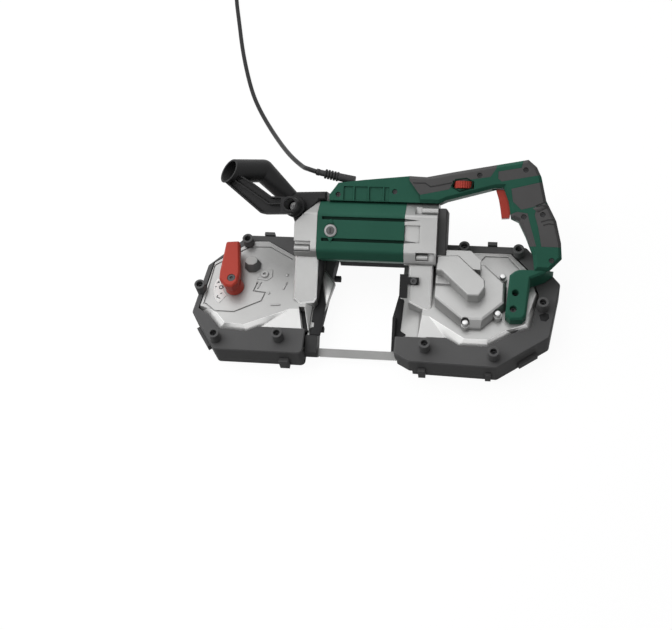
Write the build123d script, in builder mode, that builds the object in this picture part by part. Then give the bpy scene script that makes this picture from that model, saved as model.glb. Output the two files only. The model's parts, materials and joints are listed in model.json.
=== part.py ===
from build123d import *
import os
from math import atan2, cos, hypot, pi, radians, sin, sqrt, tan

os.makedirs("parts", exist_ok=True)

# Where the saw's drawing origin lies in the row frame, so the saw's box is centred on the origin
DATUM_X, DATUM_Y = -13.46, -41.4

# Blade and wheels
TILT = 28.0                # motor and handles lean this far out of the wheel plane
BLADE_LENGTH = 1140.0
BLADE_WIDTH = 13.0
BLADE_THICK = 0.65
WHEEL_R = 83.0             # over the tyre
TYRE = 2.5
RUN_GAP = 0.3              # blade to tyre
WHEEL_WIDTH = 16.0
BLADE_Z = 14.0
MID_X, WHEEL_Y = -1.5, 5.6
TOOTH_PITCH, TOOTH_DEPTH = 3.2, 1.2
BLADE_R = WHEEL_R + RUN_GAP + BLADE_THICK / 2
SPAN = (BLADE_LENGTH - 2 * pi * BLADE_R) / 2
IDLER = (MID_X - SPAN / 2, WHEEL_Y)
DRIVE = (MID_X + SPAN / 2, WHEEL_Y)
CUT_Y = WHEEL_Y - BLADE_R

# Levels above the floor
COVER_WALL = 2.5
PARTING_Z = 12.0
PLATE_Z, PLATE_TOP = 25.0, 31.0
RIM_Z, PLATEAU_Z = 36.0, 46.0
GUARD_TOP, GUARD_WALL = 42.0, 2.6
BOSS_TOP, BOSS_R, BOSS_BORE, SCREW_R = 60.0, 7.8, 4.8, 2.5
SCREW_SEAT = 50.0          # under the heads of the guard screws
EAR_R = 5.4
COLUMN_N = 0.5             # the columns' sloping tops, measured in the tool plane
FIT = 0.4                  # gap between neighbouring castings and mouldings
RUN_FIT = 0.05             # gap of a shaft in its bearing

# Motor, measured in the tool plane
MOTOR_T, MOTOR_N = 178.0, -25.0
MOTOR_HALF = 43.0
MOTOR_X0, MOTOR_X1 = -69.0, 57.0
BRACKET_X0 = -102.0
HEAD_X1 = 103.0

UP = Vector(0, cos(radians(TILT)), sin(radians(TILT)))
OUT = Vector(0, -sin(radians(TILT)), cos(radians(TILT)))
X_AXIS = Vector(1, 0, 0)


def wheel_plane(z, x=0.0, y=0.0):
    return Plane(origin=(DATUM_X + x, DATUM_Y + y, z))


def tool_point(x, t, n):
    return Vector(DATUM_X + x, DATUM_Y + CUT_Y, BLADE_Z) + UP * t + OUT * n


def tool_plane(n, x=0.0, t=0.0):
    return Plane(origin=tool_point(x, t, n), x_dir=(1, 0, 0), z_dir=OUT)


def cross_plane(x, t=MOTOR_T, n=MOTOR_N):
    return Plane(origin=tool_point(x, t, n), x_dir=UP, z_dir=(1, 0, 0))


def row_plane(x, y, z):
    return Plane(origin=(DATUM_X + x, DATUM_Y + y, z), x_dir=(0, 1, 0), z_dir=(1, 0, 0))


def outline(points, corner=0.0, mode=Mode.ADD):
    with BuildLine() as edge:
        if corner:
            FilletPolyline(*points, radius=corner, close=True)
        else:
            Polyline(*points, close=True)
    make_face(edge.edges(), mode=mode)


# Outlines in the wheel plane
FRONT_OUTLINE = [(-80, 101), (-187, 101), (-241, 46), (-252, -35), (-210, -94), (-80, -94)]
FRONT_RIM = [(-76, 60), (-96, 60), (-115, 69), (-154, 91), (-180, 90), (-233, 50), (-243, -28),
             (-227, -38), (-208, -59), (-166, -62), (-150, -54), (-76, -54)]
FRONT_INNER = [(-84, 49), (-96, 49), (-113, 58), (-149, 78), (-181, 77), (-229, 43), (-235, -23),
               (-217, -33), (-199, -52), (-171, -54), (-106, -25), (-84, -24)]
FRONT_RIDGE = [(-84, 57), (-96, 57), (-114, 66), (-153, 88), (-179, 87), (-230, 48), (-240, -26)]
FRONT_RIDGE += FRONT_INNER[7:]
FRONT_BOSSES = [(-243, 2), (-183, 84), (-209, -77), (-117, -72)]
REAR_OUTLINE = [(50, 97), (229, 96), (279, 36), (266, -50), (195, -101), (72, -98), (50, -86)]
REAR_RIM = [(82, -58), (123, -58), (140, -68.5), (180, -68.5), (216, -45), (239, -37), (249, 17),
            (232, 59), (209, 84), (82, 84)]
REAR_INNER = [(86, -26), (96, -27), (148, -60), (181, -60), (205, -44), (228, -32), (238, 17),
              (221, 54), (204, 75), (86, 75)]
REAR_RIDGE = REAR_INNER[:5] + [(232, -33), (245, 17), (229, 57), (207, 81), (86, 81)]
REAR_BOSSES = [(94, -77), (190, -85), (255, -4), (218, 82), (140, 84)]
GUARD_CORNER = 7.0
LINE_WIDTH, LINE_DEPTH = 1.8, 1.5
PLATE_LINE = [(-233, -22), (-217, -34), (-188, -34), (-150, -14), (-146, 0), (-164, 2), (-160, 17)]
REAR_LINE = [(166, 68), (171, 75), (204, 75), (221, 54), (222, 46)]
PLATE_BOLT = (-151.0, 30.0)


def flange(points, bosses, grow=0.0):
    outline(points, GUARD_CORNER)
    offset(amount=-(GUARD_WALL + FIT))
    with Locations(*bosses):
        Circle(EAR_R)
    if grow:
        offset(amount=grow)


def wheel_box(x0, x1, y0, y1, z0, z1, mode=Mode.ADD):
    with BuildSketch(wheel_plane(z0)) as face:
        with Locations(((x0 + x1) / 2, (y0 + y1) / 2)):
            Rectangle(x1 - x0, y1 - y0)
    extrude(face.sketch, amount=z1 - z0, mode=mode)


def tool_box(x0, x1, t0, t1, n0, n1, mode=Mode.ADD):
    with BuildSketch(tool_plane(n0)) as face:
        with Locations(((x0 + x1) / 2, (t0 + t1) / 2)):
            Rectangle(x1 - x0, t1 - t0)
    extrude(face.sketch, amount=n1 - n0, mode=mode)


def wheel_round(x, y, r, z0, z1, mode=Mode.ADD):
    with BuildSketch(wheel_plane(z0)) as face:
        with Locations((x, y)):
            Circle(r)
    extrude(face.sketch, amount=z1 - z0, mode=mode)


def tool_round(x, t, r, n0, n1, mode=Mode.ADD):
    with BuildSketch(tool_plane(n0)) as face:
        with Locations((x, t)):
            Circle(r)
    extrude(face.sketch, amount=n1 - n0, mode=mode)


def shaft_round(y, z, r, x0, x1, mode=Mode.ADD):
    with BuildSketch(row_plane(x0, y, z)) as face:
        Circle(r)
    extrude(face.sketch, amount=x1 - x0, mode=mode)


def motor_round(r, x0, x1, mode=Mode.ADD):
    with BuildSketch(cross_plane(x0)) as face:
        Circle(r)
    extrude(face.sketch, amount=x1 - x0, mode=mode)


def tower_round(t, n, r, x0, x1, mode=Mode.ADD):
    with BuildSketch(cross_plane(x0, t, n)) as face:
        Circle(r)
    extrude(face.sketch, amount=x1 - x0, mode=mode)


# Gear train: armature pinion, idler gear, worm shaft gear, worm, worm wheel on the drive shaft
MODULE = 1.5
PINION_TEETH, GEAR_TEETH, WORM_WHEEL_TEETH = 12, 24, 33
PINION_R = MODULE * PINION_TEETH / 2
GEAR_R = MODULE * GEAR_TEETH / 2
WORM_R = 8.0
WORM_DROP = 22.13          # worm axis below the motor axis
WORM_WHEEL_R = WORM_WHEEL_TEETH
GEAR_X0, GEAR_X1 = 105.0, 112.0
CAP_X1 = 116.0
MOTOR_Y = CUT_Y + MOTOR_T * cos(radians(TILT)) - MOTOR_N * sin(radians(TILT))
MOTOR_Z = BLADE_Z + MOTOR_T * sin(radians(TILT)) + MOTOR_N * cos(radians(TILT))
WORM_Y = WHEEL_Y + WORM_WHEEL_R + WORM_R
WORM_Z = MOTOR_Z - WORM_DROP
GEAR_LINE = hypot(MOTOR_Y - WORM_Y, WORM_DROP)
IDLER_GEAR_R = (GEAR_LINE - PINION_R - GEAR_R) / 2
IDLER_TEETH = round(2 * IDLER_GEAR_R / MODULE)
STEP = (PINION_R + IDLER_GEAR_R) / GEAR_LINE
IDLER_GEAR_Y = MOTOR_Y + (WORM_Y - MOTOR_Y) * STEP
IDLER_GEAR_Z = MOTOR_Z + (WORM_Z - MOTOR_Z) * STEP
CAP_R = GEAR_R + 5.5
BRACKET_T0, HEAD_T0 = 139.0, 132.0
COVER_BOLTS = [(148.5, -42), (193, -25.5), (197.5, 35)]
WORM_BEARINGS = (CAP_X1 + 2, DRIVE[0] + 12)
WORM_BEARING_R, WORM_BEARING_LEN, WORM_SHAFT_R = 8.0, 6.0, 5.0
STOP_SCREW = (73.0, 108.5)
HEAD_TOP = MOTOR_T + MOTOR_HALF

# Tension gear in the front housing
LEVER = (-193.0, 7.0)
RELEASE = 6.0              # carriage travel when the lever is turned
CAM_START = radians(30.0)  # the cam's angle at rest, before its flank
CAM_R, CAM_THROW, CAM_SHAFT_R = 8.0, RELEASE / 2 / cos(CAM_START), 4.6
CARRIAGE_HALF, CARRIAGE_Z0, CARRIAGE_Z1 = 24.0, 26.1, 41.9
POCKET_TOP = 42.0
AXLE_R = 7.5

# Blade guides: both stand across the blade in the tool plane
GUIDE_LEN, GUIDE_UP, GUIDE_DOWN, GUIDE_FRONT, GUIDE_BACK = 17.6, 25.0, -6.6, 13.0, -10.3
FRONT_GUIDE_X, REAR_GUIDE_X = -71.0, 67.0
ROLLER_R, ROLLER_LEN = 4.0, 11.0
ROLLER_N = BLADE_THICK / 2 + RUN_GAP + ROLLER_R


def motor_section(low, corner):
    h = MOTOR_HALF
    outline([(h, -14), (h, 20), (22, h), (-31, h), (-low, 31), (-low, -14), (-14, 3 - h), (14, 3 - h)],
            corner)


# Front column with a sloping top, trimmed where the end bracket sits on it
COLUMN_HIGH = 90.0         # height before the top is cut to its slope
OUT_AXIS = Axis((0, 0, 0), OUT)
with BuildPart() as front_column:
    with BuildSketch(wheel_plane(PLATE_TOP)):
        outline([(-102, -10), (-92, -16), (-72, -14), (-68, -8), (-68, 88), (-102, 88)])
    extrude(amount=COLUMN_HIGH)
    tool_box(-130, -40, -60, 260, COLUMN_N, COLUMN_N + 120, mode=Mode.SUBTRACT)
    chamfer(front_column.faces().sort_by(OUT_AXIS)[-1].edges(), 2.0)
    tool_box(-130, -40, BRACKET_T0, BRACKET_T0 + 120, -150, 150, mode=Mode.SUBTRACT)

# Rear column with a sloping top, trimmed where the gear head sits on it
with BuildPart() as rear_column:
    with BuildSketch(wheel_plane(PLATE_TOP)):
        outline([(65, -8), (92, -19), (98.8, -12), (98.8, 84), (63, 84)])
    extrude(amount=COLUMN_HIGH)
    tool_box(30, 130, -60, 260, COLUMN_N, COLUMN_N + 120, mode=Mode.SUBTRACT)
    chamfer(rear_column.faces().sort_by(OUT_AXIS)[-1].edges(), 2.0)
    tool_box(30, 130, HEAD_T0, HEAD_T0 + 120, -150, 150, mode=Mode.SUBTRACT)

# Main frame: two wheel plates, raised centres with bevelled sides, bridge, rails for the carriage
with BuildPart() as main_frame:
    with BuildSketch(wheel_plane(PLATE_Z)):
        flange(FRONT_OUTLINE, FRONT_BOSSES)
        flange(REAR_OUTLINE, REAR_BOSSES)
        outline([(-96, 92), (-96, 74), (125, 74), (125, 92)])
        outline([(-95, 80), (-68, 80), (-66, 54), (-47, 29), (-55, -8), (-64, -30), (-64, -62),
                 (-78, -62), (-78, -34), (-95, -34)])
    extrude(amount=PLATE_TOP - PLATE_Z)
    for rim, ridge in ((FRONT_RIM, FRONT_RIDGE), (REAR_RIM, REAR_RIDGE)):
        with BuildSketch(wheel_plane(PLATE_TOP)):
            outline(rim)
        extrude(amount=RIM_Z - PLATE_TOP)
        with BuildSketch(wheel_plane(RIM_Z)):
            outline(rim)
        with BuildSketch(wheel_plane(PLATEAU_Z)):
            outline(ridge)
        loft(ruled=True)
    add(front_column.part)
    add(rear_column.part)
    with BuildSketch(wheel_plane(PLATE_Z - 1)):
        outline(FRONT_INNER)
        offset(amount=-5)
    extrude(amount=POCKET_TOP - PLATE_Z + 1, mode=Mode.SUBTRACT)
    with BuildSketch(wheel_plane(PLATE_Z - 1)):
        outline(REAR_INNER)
        offset(amount=-6)
        with Locations(DRIVE):
            Circle(24, mode=Mode.SUBTRACT)
        with Locations((104, 30)):
            Rectangle(60, 100, mode=Mode.SUBTRACT)
    extrude(amount=POCKET_TOP - PLATE_Z + 1, mode=Mode.SUBTRACT)
    for side in (-1, 1):
        rail = WHEEL_Y + side * (CARRIAGE_HALF + 0.15 + 3)
        wheel_box(-214, -124, rail - 3, rail + 3, CARRIAGE_Z0 - 2.0, POCKET_TOP + 1)
        lip = WHEEL_Y + side * (CARRIAGE_HALF - 1.5)
        wheel_box(-212, -126, lip - 2.5, lip + 2.5, CARRIAGE_Z0 - 2.0, CARRIAGE_Z0 - 0.1)
    wheel_round(*LEVER, CAM_SHAFT_R + RUN_FIT, PLATE_Z, PLATEAU_Z + 1, mode=Mode.SUBTRACT)
    wheel_round(*DRIVE, 16.0, PLATE_Z - 1, 41.0, mode=Mode.SUBTRACT)
    wheel_round(*DRIVE, 10.5, PLATE_Z, PLATEAU_Z + 1, mode=Mode.SUBTRACT)
    tool_box(FRONT_GUIDE_X - GUIDE_LEN, FRONT_GUIDE_X + GUIDE_LEN, -60, GUIDE_UP, -80, 80,
             mode=Mode.SUBTRACT)
    tool_box(REAR_GUIDE_X - GUIDE_LEN / 2 - 12, REAR_GUIDE_X + GUIDE_LEN / 2 + FIT, -60, GUIDE_UP,
             -80, 80, mode=Mode.SUBTRACT)
    with Locations(*[(DATUM_X + x, DATUM_Y + y, PLATE_Z - 1) for x, y in FRONT_BOSSES + REAR_BOSSES]):
        Cylinder(SCREW_R, PLATE_TOP - PLATE_Z + 2, align=(Align.CENTER, Align.CENTER, Align.MIN),
                 mode=Mode.SUBTRACT)
    with BuildSketch(row_plane(HEAD_X1 - FIT, WORM_Y, WORM_Z)):
        Circle(CAP_R + FIT)
        with Locations((20, 9)):
            Rectangle(40, 60)
    extrude(amount=CAP_X1 - HEAD_X1 + 2 * FIT, mode=Mode.SUBTRACT)
    shaft_round(WORM_Y, WORM_Z, WORM_R + 1.2, CAP_X1, WORM_BEARINGS[1] + WORM_BEARING_LEN + FIT,
                mode=Mode.SUBTRACT)
    with BuildSketch(cross_plane(MOTOR_X0)):
        motor_section(MOTOR_HALF + FIT, 8.0)
    extrude(amount=MOTOR_X1 - MOTOR_X0, mode=Mode.SUBTRACT)
    with BuildSketch(cross_plane(MOTOR_X1)):
        motor_section(MOTOR_T - HEAD_T0, 6.0)
    extrude(amount=HEAD_X1 - MOTOR_X1, mode=Mode.SUBTRACT)
    with BuildSketch(wheel_plane(PLATE_TOP)):
        with Locations(*FRONT_BOSSES, *REAR_BOSSES):
            Circle(BOSS_R + FIT)
    extrude(amount=BOSS_TOP - PLATE_TOP, mode=Mode.SUBTRACT)
    with BuildSketch(wheel_plane(PLATEAU_Z - 8)):
        with Locations(*COVER_BOLTS):
            Circle(SCREW_R)
    extrude(amount=9, mode=Mode.SUBTRACT)
    for line in (PLATE_LINE, FRONT_INNER[2:7], REAR_LINE):
        with BuildSketch(wheel_plane(PLATEAU_Z)):
            with BuildLine():
                Polyline(*line)
            trace(line_width=LINE_WIDTH)
        extrude(amount=-LINE_DEPTH, mode=Mode.SUBTRACT)
    with BuildSketch(wheel_plane(PLATEAU_Z - 3)):
        outline([(-162, 22), (-146, 20), (-139, 27), (-140, 38), (-150, 39)])
    extrude(amount=4.0)
    wheel_round(*PLATE_BOLT, 5.6, PLATEAU_Z, PLATEAU_Z + 3.6)
    with BuildSketch(wheel_plane(PLATEAU_Z + 3.6, *PLATE_BOLT)):
        RegularPolygon(2.4, 6)
    extrude(amount=-2.0, mode=Mode.SUBTRACT)
    with BuildSketch(wheel_plane(PLATE_TOP + 2)):
        outline([(-93, -21), (-85, -21), (-77, -54), (-86, -54)])
    extrude(amount=20, mode=Mode.SUBTRACT)
    tool_round(*STOP_SCREW, 5.5, -6, 8)
    tool_round(*STOP_SCREW, SCREW_R, -4, 9, mode=Mode.SUBTRACT)

# Front guard: black shell round the idler wheel with tube bosses for its screws
with BuildPart() as front_guard:
    with BuildSketch(wheel_plane(PARTING_Z)):
        outline(FRONT_OUTLINE, GUARD_CORNER)
    extrude(amount=GUARD_TOP - PARTING_Z)
    chamfer(front_guard.edges().group_by(Axis.Z)[-1], 1.6)
    with BuildSketch(wheel_plane(PARTING_Z)):
        outline(FRONT_OUTLINE, GUARD_CORNER)
        offset(amount=-GUARD_WALL)
    extrude(amount=GUARD_TOP - GUARD_WALL - PARTING_Z, mode=Mode.SUBTRACT)
    with BuildSketch(wheel_plane(PLATE_Z - FIT)):
        with Locations(*FRONT_BOSSES):
            Circle(BOSS_R)
    extrude(amount=BOSS_TOP - PLATE_Z + FIT)
    with BuildSketch(wheel_plane(PLATE_Z - 2)):
        flange(FRONT_OUTLINE, FRONT_BOSSES, FIT)
    extrude(amount=PLATE_TOP - PLATE_Z + 2, mode=Mode.SUBTRACT)
    with BuildSketch(wheel_plane(PARTING_Z - 1)):
        with Locations((-80, 21)):
            Rectangle(7, 156)
        with Locations((-80, -70)):
            Rectangle(7, 34)
    extrude(amount=GUARD_TOP - GUARD_WALL - PARTING_Z + 1, mode=Mode.SUBTRACT)
    with BuildSketch(wheel_plane(PLATE_TOP)):
        outline(FRONT_RIM)
        with Locations((-76, 3)):
            Rectangle(20, 114)
        offset(amount=FIT)
        with Locations(*FRONT_BOSSES):
            Circle(BOSS_R, mode=Mode.SUBTRACT)
    extrude(amount=40, mode=Mode.SUBTRACT)
    wheel_box(-106, -70, 56, 110, PLATE_TOP + 1.2, BOSS_TOP, mode=Mode.SUBTRACT)
    with BuildSketch(wheel_plane(PLATE_TOP)):
        with Locations(*FRONT_BOSSES):
            Circle(SCREW_R + 0.3)
    extrude(amount=40, mode=Mode.SUBTRACT)
    with BuildSketch(wheel_plane(SCREW_SEAT)):
        with Locations(*FRONT_BOSSES):
            Circle(BOSS_BORE)
    extrude(amount=40, mode=Mode.SUBTRACT)

# Rear guard: black shell round the drive wheel
with BuildPart() as rear_guard:
    with BuildSketch(wheel_plane(PARTING_Z)):
        outline(REAR_OUTLINE, GUARD_CORNER)
    extrude(amount=GUARD_TOP - PARTING_Z)
    chamfer(rear_guard.edges().group_by(Axis.Z)[-1], 1.6)
    with BuildSketch(wheel_plane(PARTING_Z)):
        outline(REAR_OUTLINE, GUARD_CORNER)
        offset(amount=-GUARD_WALL)
    extrude(amount=GUARD_TOP - GUARD_WALL - PARTING_Z, mode=Mode.SUBTRACT)
    with BuildSketch(wheel_plane(PLATE_Z - FIT)):
        with Locations(*REAR_BOSSES):
            Circle(BOSS_R)
    extrude(amount=BOSS_TOP - PLATE_Z + FIT)
    with BuildSketch(wheel_plane(PLATE_Z - 2)):
        flange(REAR_OUTLINE, REAR_BOSSES, FIT)
    extrude(amount=PLATE_TOP - PLATE_Z + 2, mode=Mode.SUBTRACT)
    with BuildSketch(wheel_plane(PLATE_TOP)):
        outline(REAR_RIM)
        with Locations((64, 14)):
            Rectangle(60, 146)
        offset(amount=FIT)
        with Locations(*REAR_BOSSES):
            Circle(BOSS_R, mode=Mode.SUBTRACT)
    extrude(amount=40, mode=Mode.SUBTRACT)
    wheel_box(40, 62, -60, 110, PARTING_Z - 1, GUARD_TOP + 1, mode=Mode.SUBTRACT)
    tool_box(40, 54, -GUIDE_UP, GUIDE_UP, GUIDE_BACK - 6, GUIDE_FRONT, mode=Mode.SUBTRACT)
    wheel_box(45, 108, 56, 110, PLATE_TOP + 1.2, BOSS_TOP, mode=Mode.SUBTRACT)
    with BuildSketch(wheel_plane(PLATE_TOP)):
        with Locations(*REAR_BOSSES):
            Circle(SCREW_R + 0.3)
    extrude(amount=40, mode=Mode.SUBTRACT)
    with BuildSketch(wheel_plane(SCREW_SEAT)):
        with Locations(*REAR_BOSSES):
            Circle(BOSS_BORE)
    extrude(amount=40, mode=Mode.SUBTRACT)

# Guard screws, down inside the tubes
SCREW_HEAD_R, SCREW_HEAD = 4.2, 4.0
with BuildPart() as guard_screws:
    with BuildSketch(wheel_plane(PLATE_Z)):
        with Locations(*FRONT_BOSSES, *REAR_BOSSES):
            Circle(SCREW_R)
    extrude(amount=SCREW_SEAT - PLATE_Z)
    with BuildSketch(wheel_plane(SCREW_SEAT)):
        with Locations(*FRONT_BOSSES, *REAR_BOSSES):
            Circle(SCREW_HEAD_R)
    extrude(amount=SCREW_HEAD)
    with BuildSketch(wheel_plane(SCREW_SEAT + SCREW_HEAD)):
        with Locations(*FRONT_BOSSES, *REAR_BOSSES):
            RegularPolygon(2.3, 6)
    extrude(amount=-2.4, mode=Mode.SUBTRACT)

# Covers behind the wheels: shallow trays, and the channel behind the upper blade run
FRONT_COVER = [(-48, 101), (-187, 101), (-241, 46), (-252, -35), (-210, -94), (-81, -94), (-81, -46),
               (-63, -40)]
REAR_COVER = [(58, 97), (229, 96), (279, 36), (266, -50), (195, -101), (72, -98), (51, -86), (54, -40)]
BRIDGE_Y0, BRIDGE_Y1 = 77.0, 100.0

with BuildPart() as front_back_cover:
    with BuildSketch(wheel_plane(0)):
        outline(FRONT_COVER, GUARD_CORNER)
    extrude(amount=PARTING_Z)
    chamfer(front_back_cover.edges().group_by(Axis.Z)[0], 2.0)
    with BuildSketch(wheel_plane(PARTING_Z)):
        outline([(-79, 101), (-79, -48), (-63, -41), (-48, 101)])
    extrude(amount=PLATE_Z - FIT - PARTING_Z)
    with BuildSketch(wheel_plane(COVER_WALL)):
        outline(FRONT_COVER, GUARD_CORNER)
        offset(amount=-COVER_WALL)
    extrude(amount=PLATE_Z - FIT - 1.0 - COVER_WALL, mode=Mode.SUBTRACT)
    wheel_box(-60, -40, BRIDGE_Y0 + 2.5, BRIDGE_Y1 - 2.5, COVER_WALL, PLATE_Z, mode=Mode.SUBTRACT)
    wheel_box(-90, -75, -90, -62, 5.0, 40, mode=Mode.SUBTRACT)

with BuildPart() as rear_back_cover:
    with BuildSketch(wheel_plane(0)):
        outline(REAR_COVER, GUARD_CORNER)
    extrude(amount=PARTING_Z)
    chamfer(rear_back_cover.edges().group_by(Axis.Z)[0], 2.0)
    with BuildSketch(wheel_plane(PARTING_Z)):
        outline([(54, -40), (58, 97), (66, 97), (63, -40)])
    extrude(amount=PLATE_Z - FIT - PARTING_Z)
    with BuildSketch(wheel_plane(COVER_WALL)):
        outline(REAR_COVER, GUARD_CORNER)
        offset(amount=-COVER_WALL)
    extrude(amount=PLATE_Z - COVER_WALL, mode=Mode.SUBTRACT)
    wheel_box(50, 70, BRIDGE_Y0 + 2.5, BRIDGE_Y1 - 2.5, COVER_WALL, PLATE_Z, mode=Mode.SUBTRACT)
    tool_box(40, REAR_GUIDE_X + GUIDE_LEN / 2 + FIT, -40, GUIDE_UP + 1, GUIDE_BACK - FIT, 40,
             mode=Mode.SUBTRACT)

with BuildPart() as bridge_cover:
    wheel_box(-48 + FIT, 57.0, BRIDGE_Y0, BRIDGE_Y1, 2.0, PLATE_Z)
    wheel_box(-60, 70, BRIDGE_Y0 + 2.5, BRIDGE_Y1 - 2.5, 4.5, PLATE_Z + 1, mode=Mode.SUBTRACT)

# Snap clips on the edges of the guards and covers, and ledges along their slanted sides
CLIP_Z0, LOW_CLIP, HIGH_CLIP, LEDGE_OUT = 4.0, 24.0, 44.0, 5.0
with BuildPart() as cover_clips:
    for x0, x1, y0, y1, top in ((-162, -147, 101, 106, HIGH_CLIP), (-116, -102, -101, -94, LOW_CLIP),
                                (173, 187, 96.6, 102, HIGH_CLIP), (85, 95, -104.6, -98.7, LOW_CLIP),
                                (179, 187, -104.6, -100.9, LOW_CLIP)):
        wheel_box(x0, x1, y0, y1, CLIP_Z0, top)
    for (ax, ay), (bx, by), start, end in ((FRONT_OUTLINE[3], FRONT_OUTLINE[4], 0.22, 0.72),
                                           (REAR_OUTLINE[4], REAR_OUTLINE[3], 0.40, 0.75)):
        along, away = Vector(bx - ax, by - ay), Vector(by - ay, ax - bx).normalized()
        corners = [Vector(ax, ay) + along * part + away * depth for part, depth in
                   ((start, 0.1), (end, 0.1), (end, LEDGE_OUT), (start, LEDGE_OUT))]
        with BuildSketch(wheel_plane(CLIP_Z0 + 4)) as ledge:
            outline([(corner.X, corner.Y) for corner in corners])
        extrude(ledge.sketch, amount=12)

# Wheels: rim, web with holes and hub, each with a rubber tyre
WHEEL_Z0, WHEEL_Z1 = BLADE_Z - WHEEL_WIDTH / 2, BLADE_Z + WHEEL_WIDTH / 2
LIP_R, LIP_Z0 = WHEEL_R + 2.0, BLADE_Z + BLADE_WIDTH / 2 + 0.8
HUB_R, BEARING_R = 20.0, 16.0
wheels = {}
for name, (cx, cy), bore in (("idler_wheel", IDLER, BEARING_R), ("drive_wheel", DRIVE, 9.0)):
    with BuildPart() as wheel:
        wheel_round(cx, cy, WHEEL_R - TYRE, WHEEL_Z0, WHEEL_Z1)
        wheel_round(cx, cy, LIP_R, LIP_Z0, LIP_Z0 + 1.8)
        for z0, z1 in ((WHEEL_Z0 - 1, WHEEL_Z0 + 5), (WHEEL_Z1 - 5, LIP_Z0 + 4)):
            with BuildSketch(wheel_plane(z0)):
                with Locations((cx, cy)):
                    Circle(WHEEL_R - TYRE - 8)
                    Circle(HUB_R, mode=Mode.SUBTRACT)
            extrude(amount=z1 - z0, mode=Mode.SUBTRACT)
        with BuildSketch(wheel_plane(WHEEL_Z0 - 1)):
            with Locations((cx, cy)):
                with PolarLocations(46, 6):
                    Circle(14)
                Circle(bore)
        extrude(amount=WHEEL_WIDTH + 6, mode=Mode.SUBTRACT)
    with BuildPart() as tyre:
        with BuildSketch(wheel_plane(WHEEL_Z0)):
            with Locations((cx, cy)):
                Circle(WHEEL_R)
                Circle(WHEEL_R - TYRE, mode=Mode.SUBTRACT)
        extrude(amount=LIP_Z0 - WHEEL_Z0)
    wheels[name] = wheel
    wheels[name.replace("wheel", "tyre")] = tyre

# Idler bearing, axle and the sliding carriage that tightens the blade
with BuildPart() as idler_bearings:
    with BuildSketch(wheel_plane(WHEEL_Z0 + 0.5)):
        with Locations(IDLER):
            Circle(BEARING_R)
            Circle(AXLE_R + RUN_FIT, mode=Mode.SUBTRACT)
    extrude(amount=WHEEL_WIDTH - 1)

WINDOW_X0 = LEVER[0] - CAM_R - RELEASE / 2 - 0.6
with BuildPart() as idler_carriage:
    wheel_box(WINDOW_X0 - 6, IDLER[0] + 26, WHEEL_Y - CARRIAGE_HALF, WHEEL_Y + CARRIAGE_HALF,
              CARRIAGE_Z0, CARRIAGE_Z1)
    wheel_box(WINDOW_X0, LEVER[0] + CAM_R + 2, LEVER[1] - CAM_R - CAM_THROW - 1,
              LEVER[1] + CAM_R + CAM_THROW + 1, CARRIAGE_Z0 - 1, CARRIAGE_Z1 + 1, mode=Mode.SUBTRACT)
    wheel_round(*IDLER, AXLE_R, WHEEL_Z0 - 1, CARRIAGE_Z0)
    wheel_round(*IDLER, AXLE_R + 3, WHEEL_Z0 - 2.5, WHEEL_Z0 - 0.6)
    wheel_round(*IDLER, AXLE_R + 3, WHEEL_Z1 + 0.4, CARRIAGE_Z0)

# Tension lever, its cam and screw
LEVER_Z0, LEVER_ARM_Z, LEVER_TOP = PLATEAU_Z + 0.3, 61.0, 74.0
with BuildPart() as cam_shaft:
    wheel_round(*LEVER, CAM_SHAFT_R, CARRIAGE_Z0 + 1, LEVER_TOP - 6)
    wheel_round(LEVER[0] - CAM_THROW * cos(CAM_START), LEVER[1] - CAM_THROW * sin(CAM_START), CAM_R,
                CARRIAGE_Z0 + 1, POCKET_TOP - 0.3)
    wheel_round(*LEVER, 3.1, LEVER_TOP - 6, LEVER_TOP - 3.2)
    wheel_round(*LEVER, 5.6, LEVER_TOP - 3.2, LEVER_TOP - 0.6)
    with BuildSketch(wheel_plane(LEVER_TOP - 0.6, *LEVER)):
        RegularPolygon(2.6, 6)
    extrude(amount=-1.6, mode=Mode.SUBTRACT)

with BuildPart() as tension_lever:
    with BuildSketch(wheel_plane(LEVER_Z0, *LEVER)):
        Circle(14)
    with BuildSketch(wheel_plane(LEVER_ARM_Z, *LEVER)):
        Circle(12)
    loft()
    with BuildSketch(wheel_plane(LEVER_ARM_Z, *LEVER)):
        outline([(-18, -2), (-19, 10), (-17.5, 62), (2, 64), (11, 10), (10, -7), (3, -15), (-8, -13)], 3.0)
    extrude(amount=LEVER_TOP - LEVER_ARM_Z)
    chamfer(tension_lever.edges().group_by(Axis.Z)[-1], 2.5)
    wheel_round(*LEVER, CAM_SHAFT_R, LEVER_Z0 - 1, LEVER_TOP - 6, mode=Mode.SUBTRACT)
    wheel_round(*LEVER, 3.2, LEVER_TOP - 7, LEVER_TOP + 1, mode=Mode.SUBTRACT)
    wheel_round(*LEVER, 6.0, LEVER_TOP - 3.2, LEVER_TOP + 1, mode=Mode.SUBTRACT)

# Eight-sided cap beside the lever
SPRING_CAP = (-171.0, 44.0)
with BuildPart() as spring_cap:
    with BuildSketch(wheel_plane(PLATEAU_Z, *SPRING_CAP)):
        RegularPolygon(15.5, 8, rotation=22.5)
    with BuildSketch(wheel_plane(BOSS_TOP - 2, *SPRING_CAP)):
        RegularPolygon(11.5, 8, rotation=22.5)
    loft()


def cog(teeth, pitch_r, tooth=2 * MODULE, clear=0.15):
    step = 2 * pi / teeth
    corners = []
    for k in range(teeth):
        for part_turn, r in ((-0.34, pitch_r - clear - tooth), (-0.16, pitch_r - clear),
                             (0.16, pitch_r - clear), (0.34, pitch_r - clear - tooth)):
            turn = (k + part_turn) * step
            corners.append((r * cos(turn), r * sin(turn)))
    outline(corners)


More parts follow.
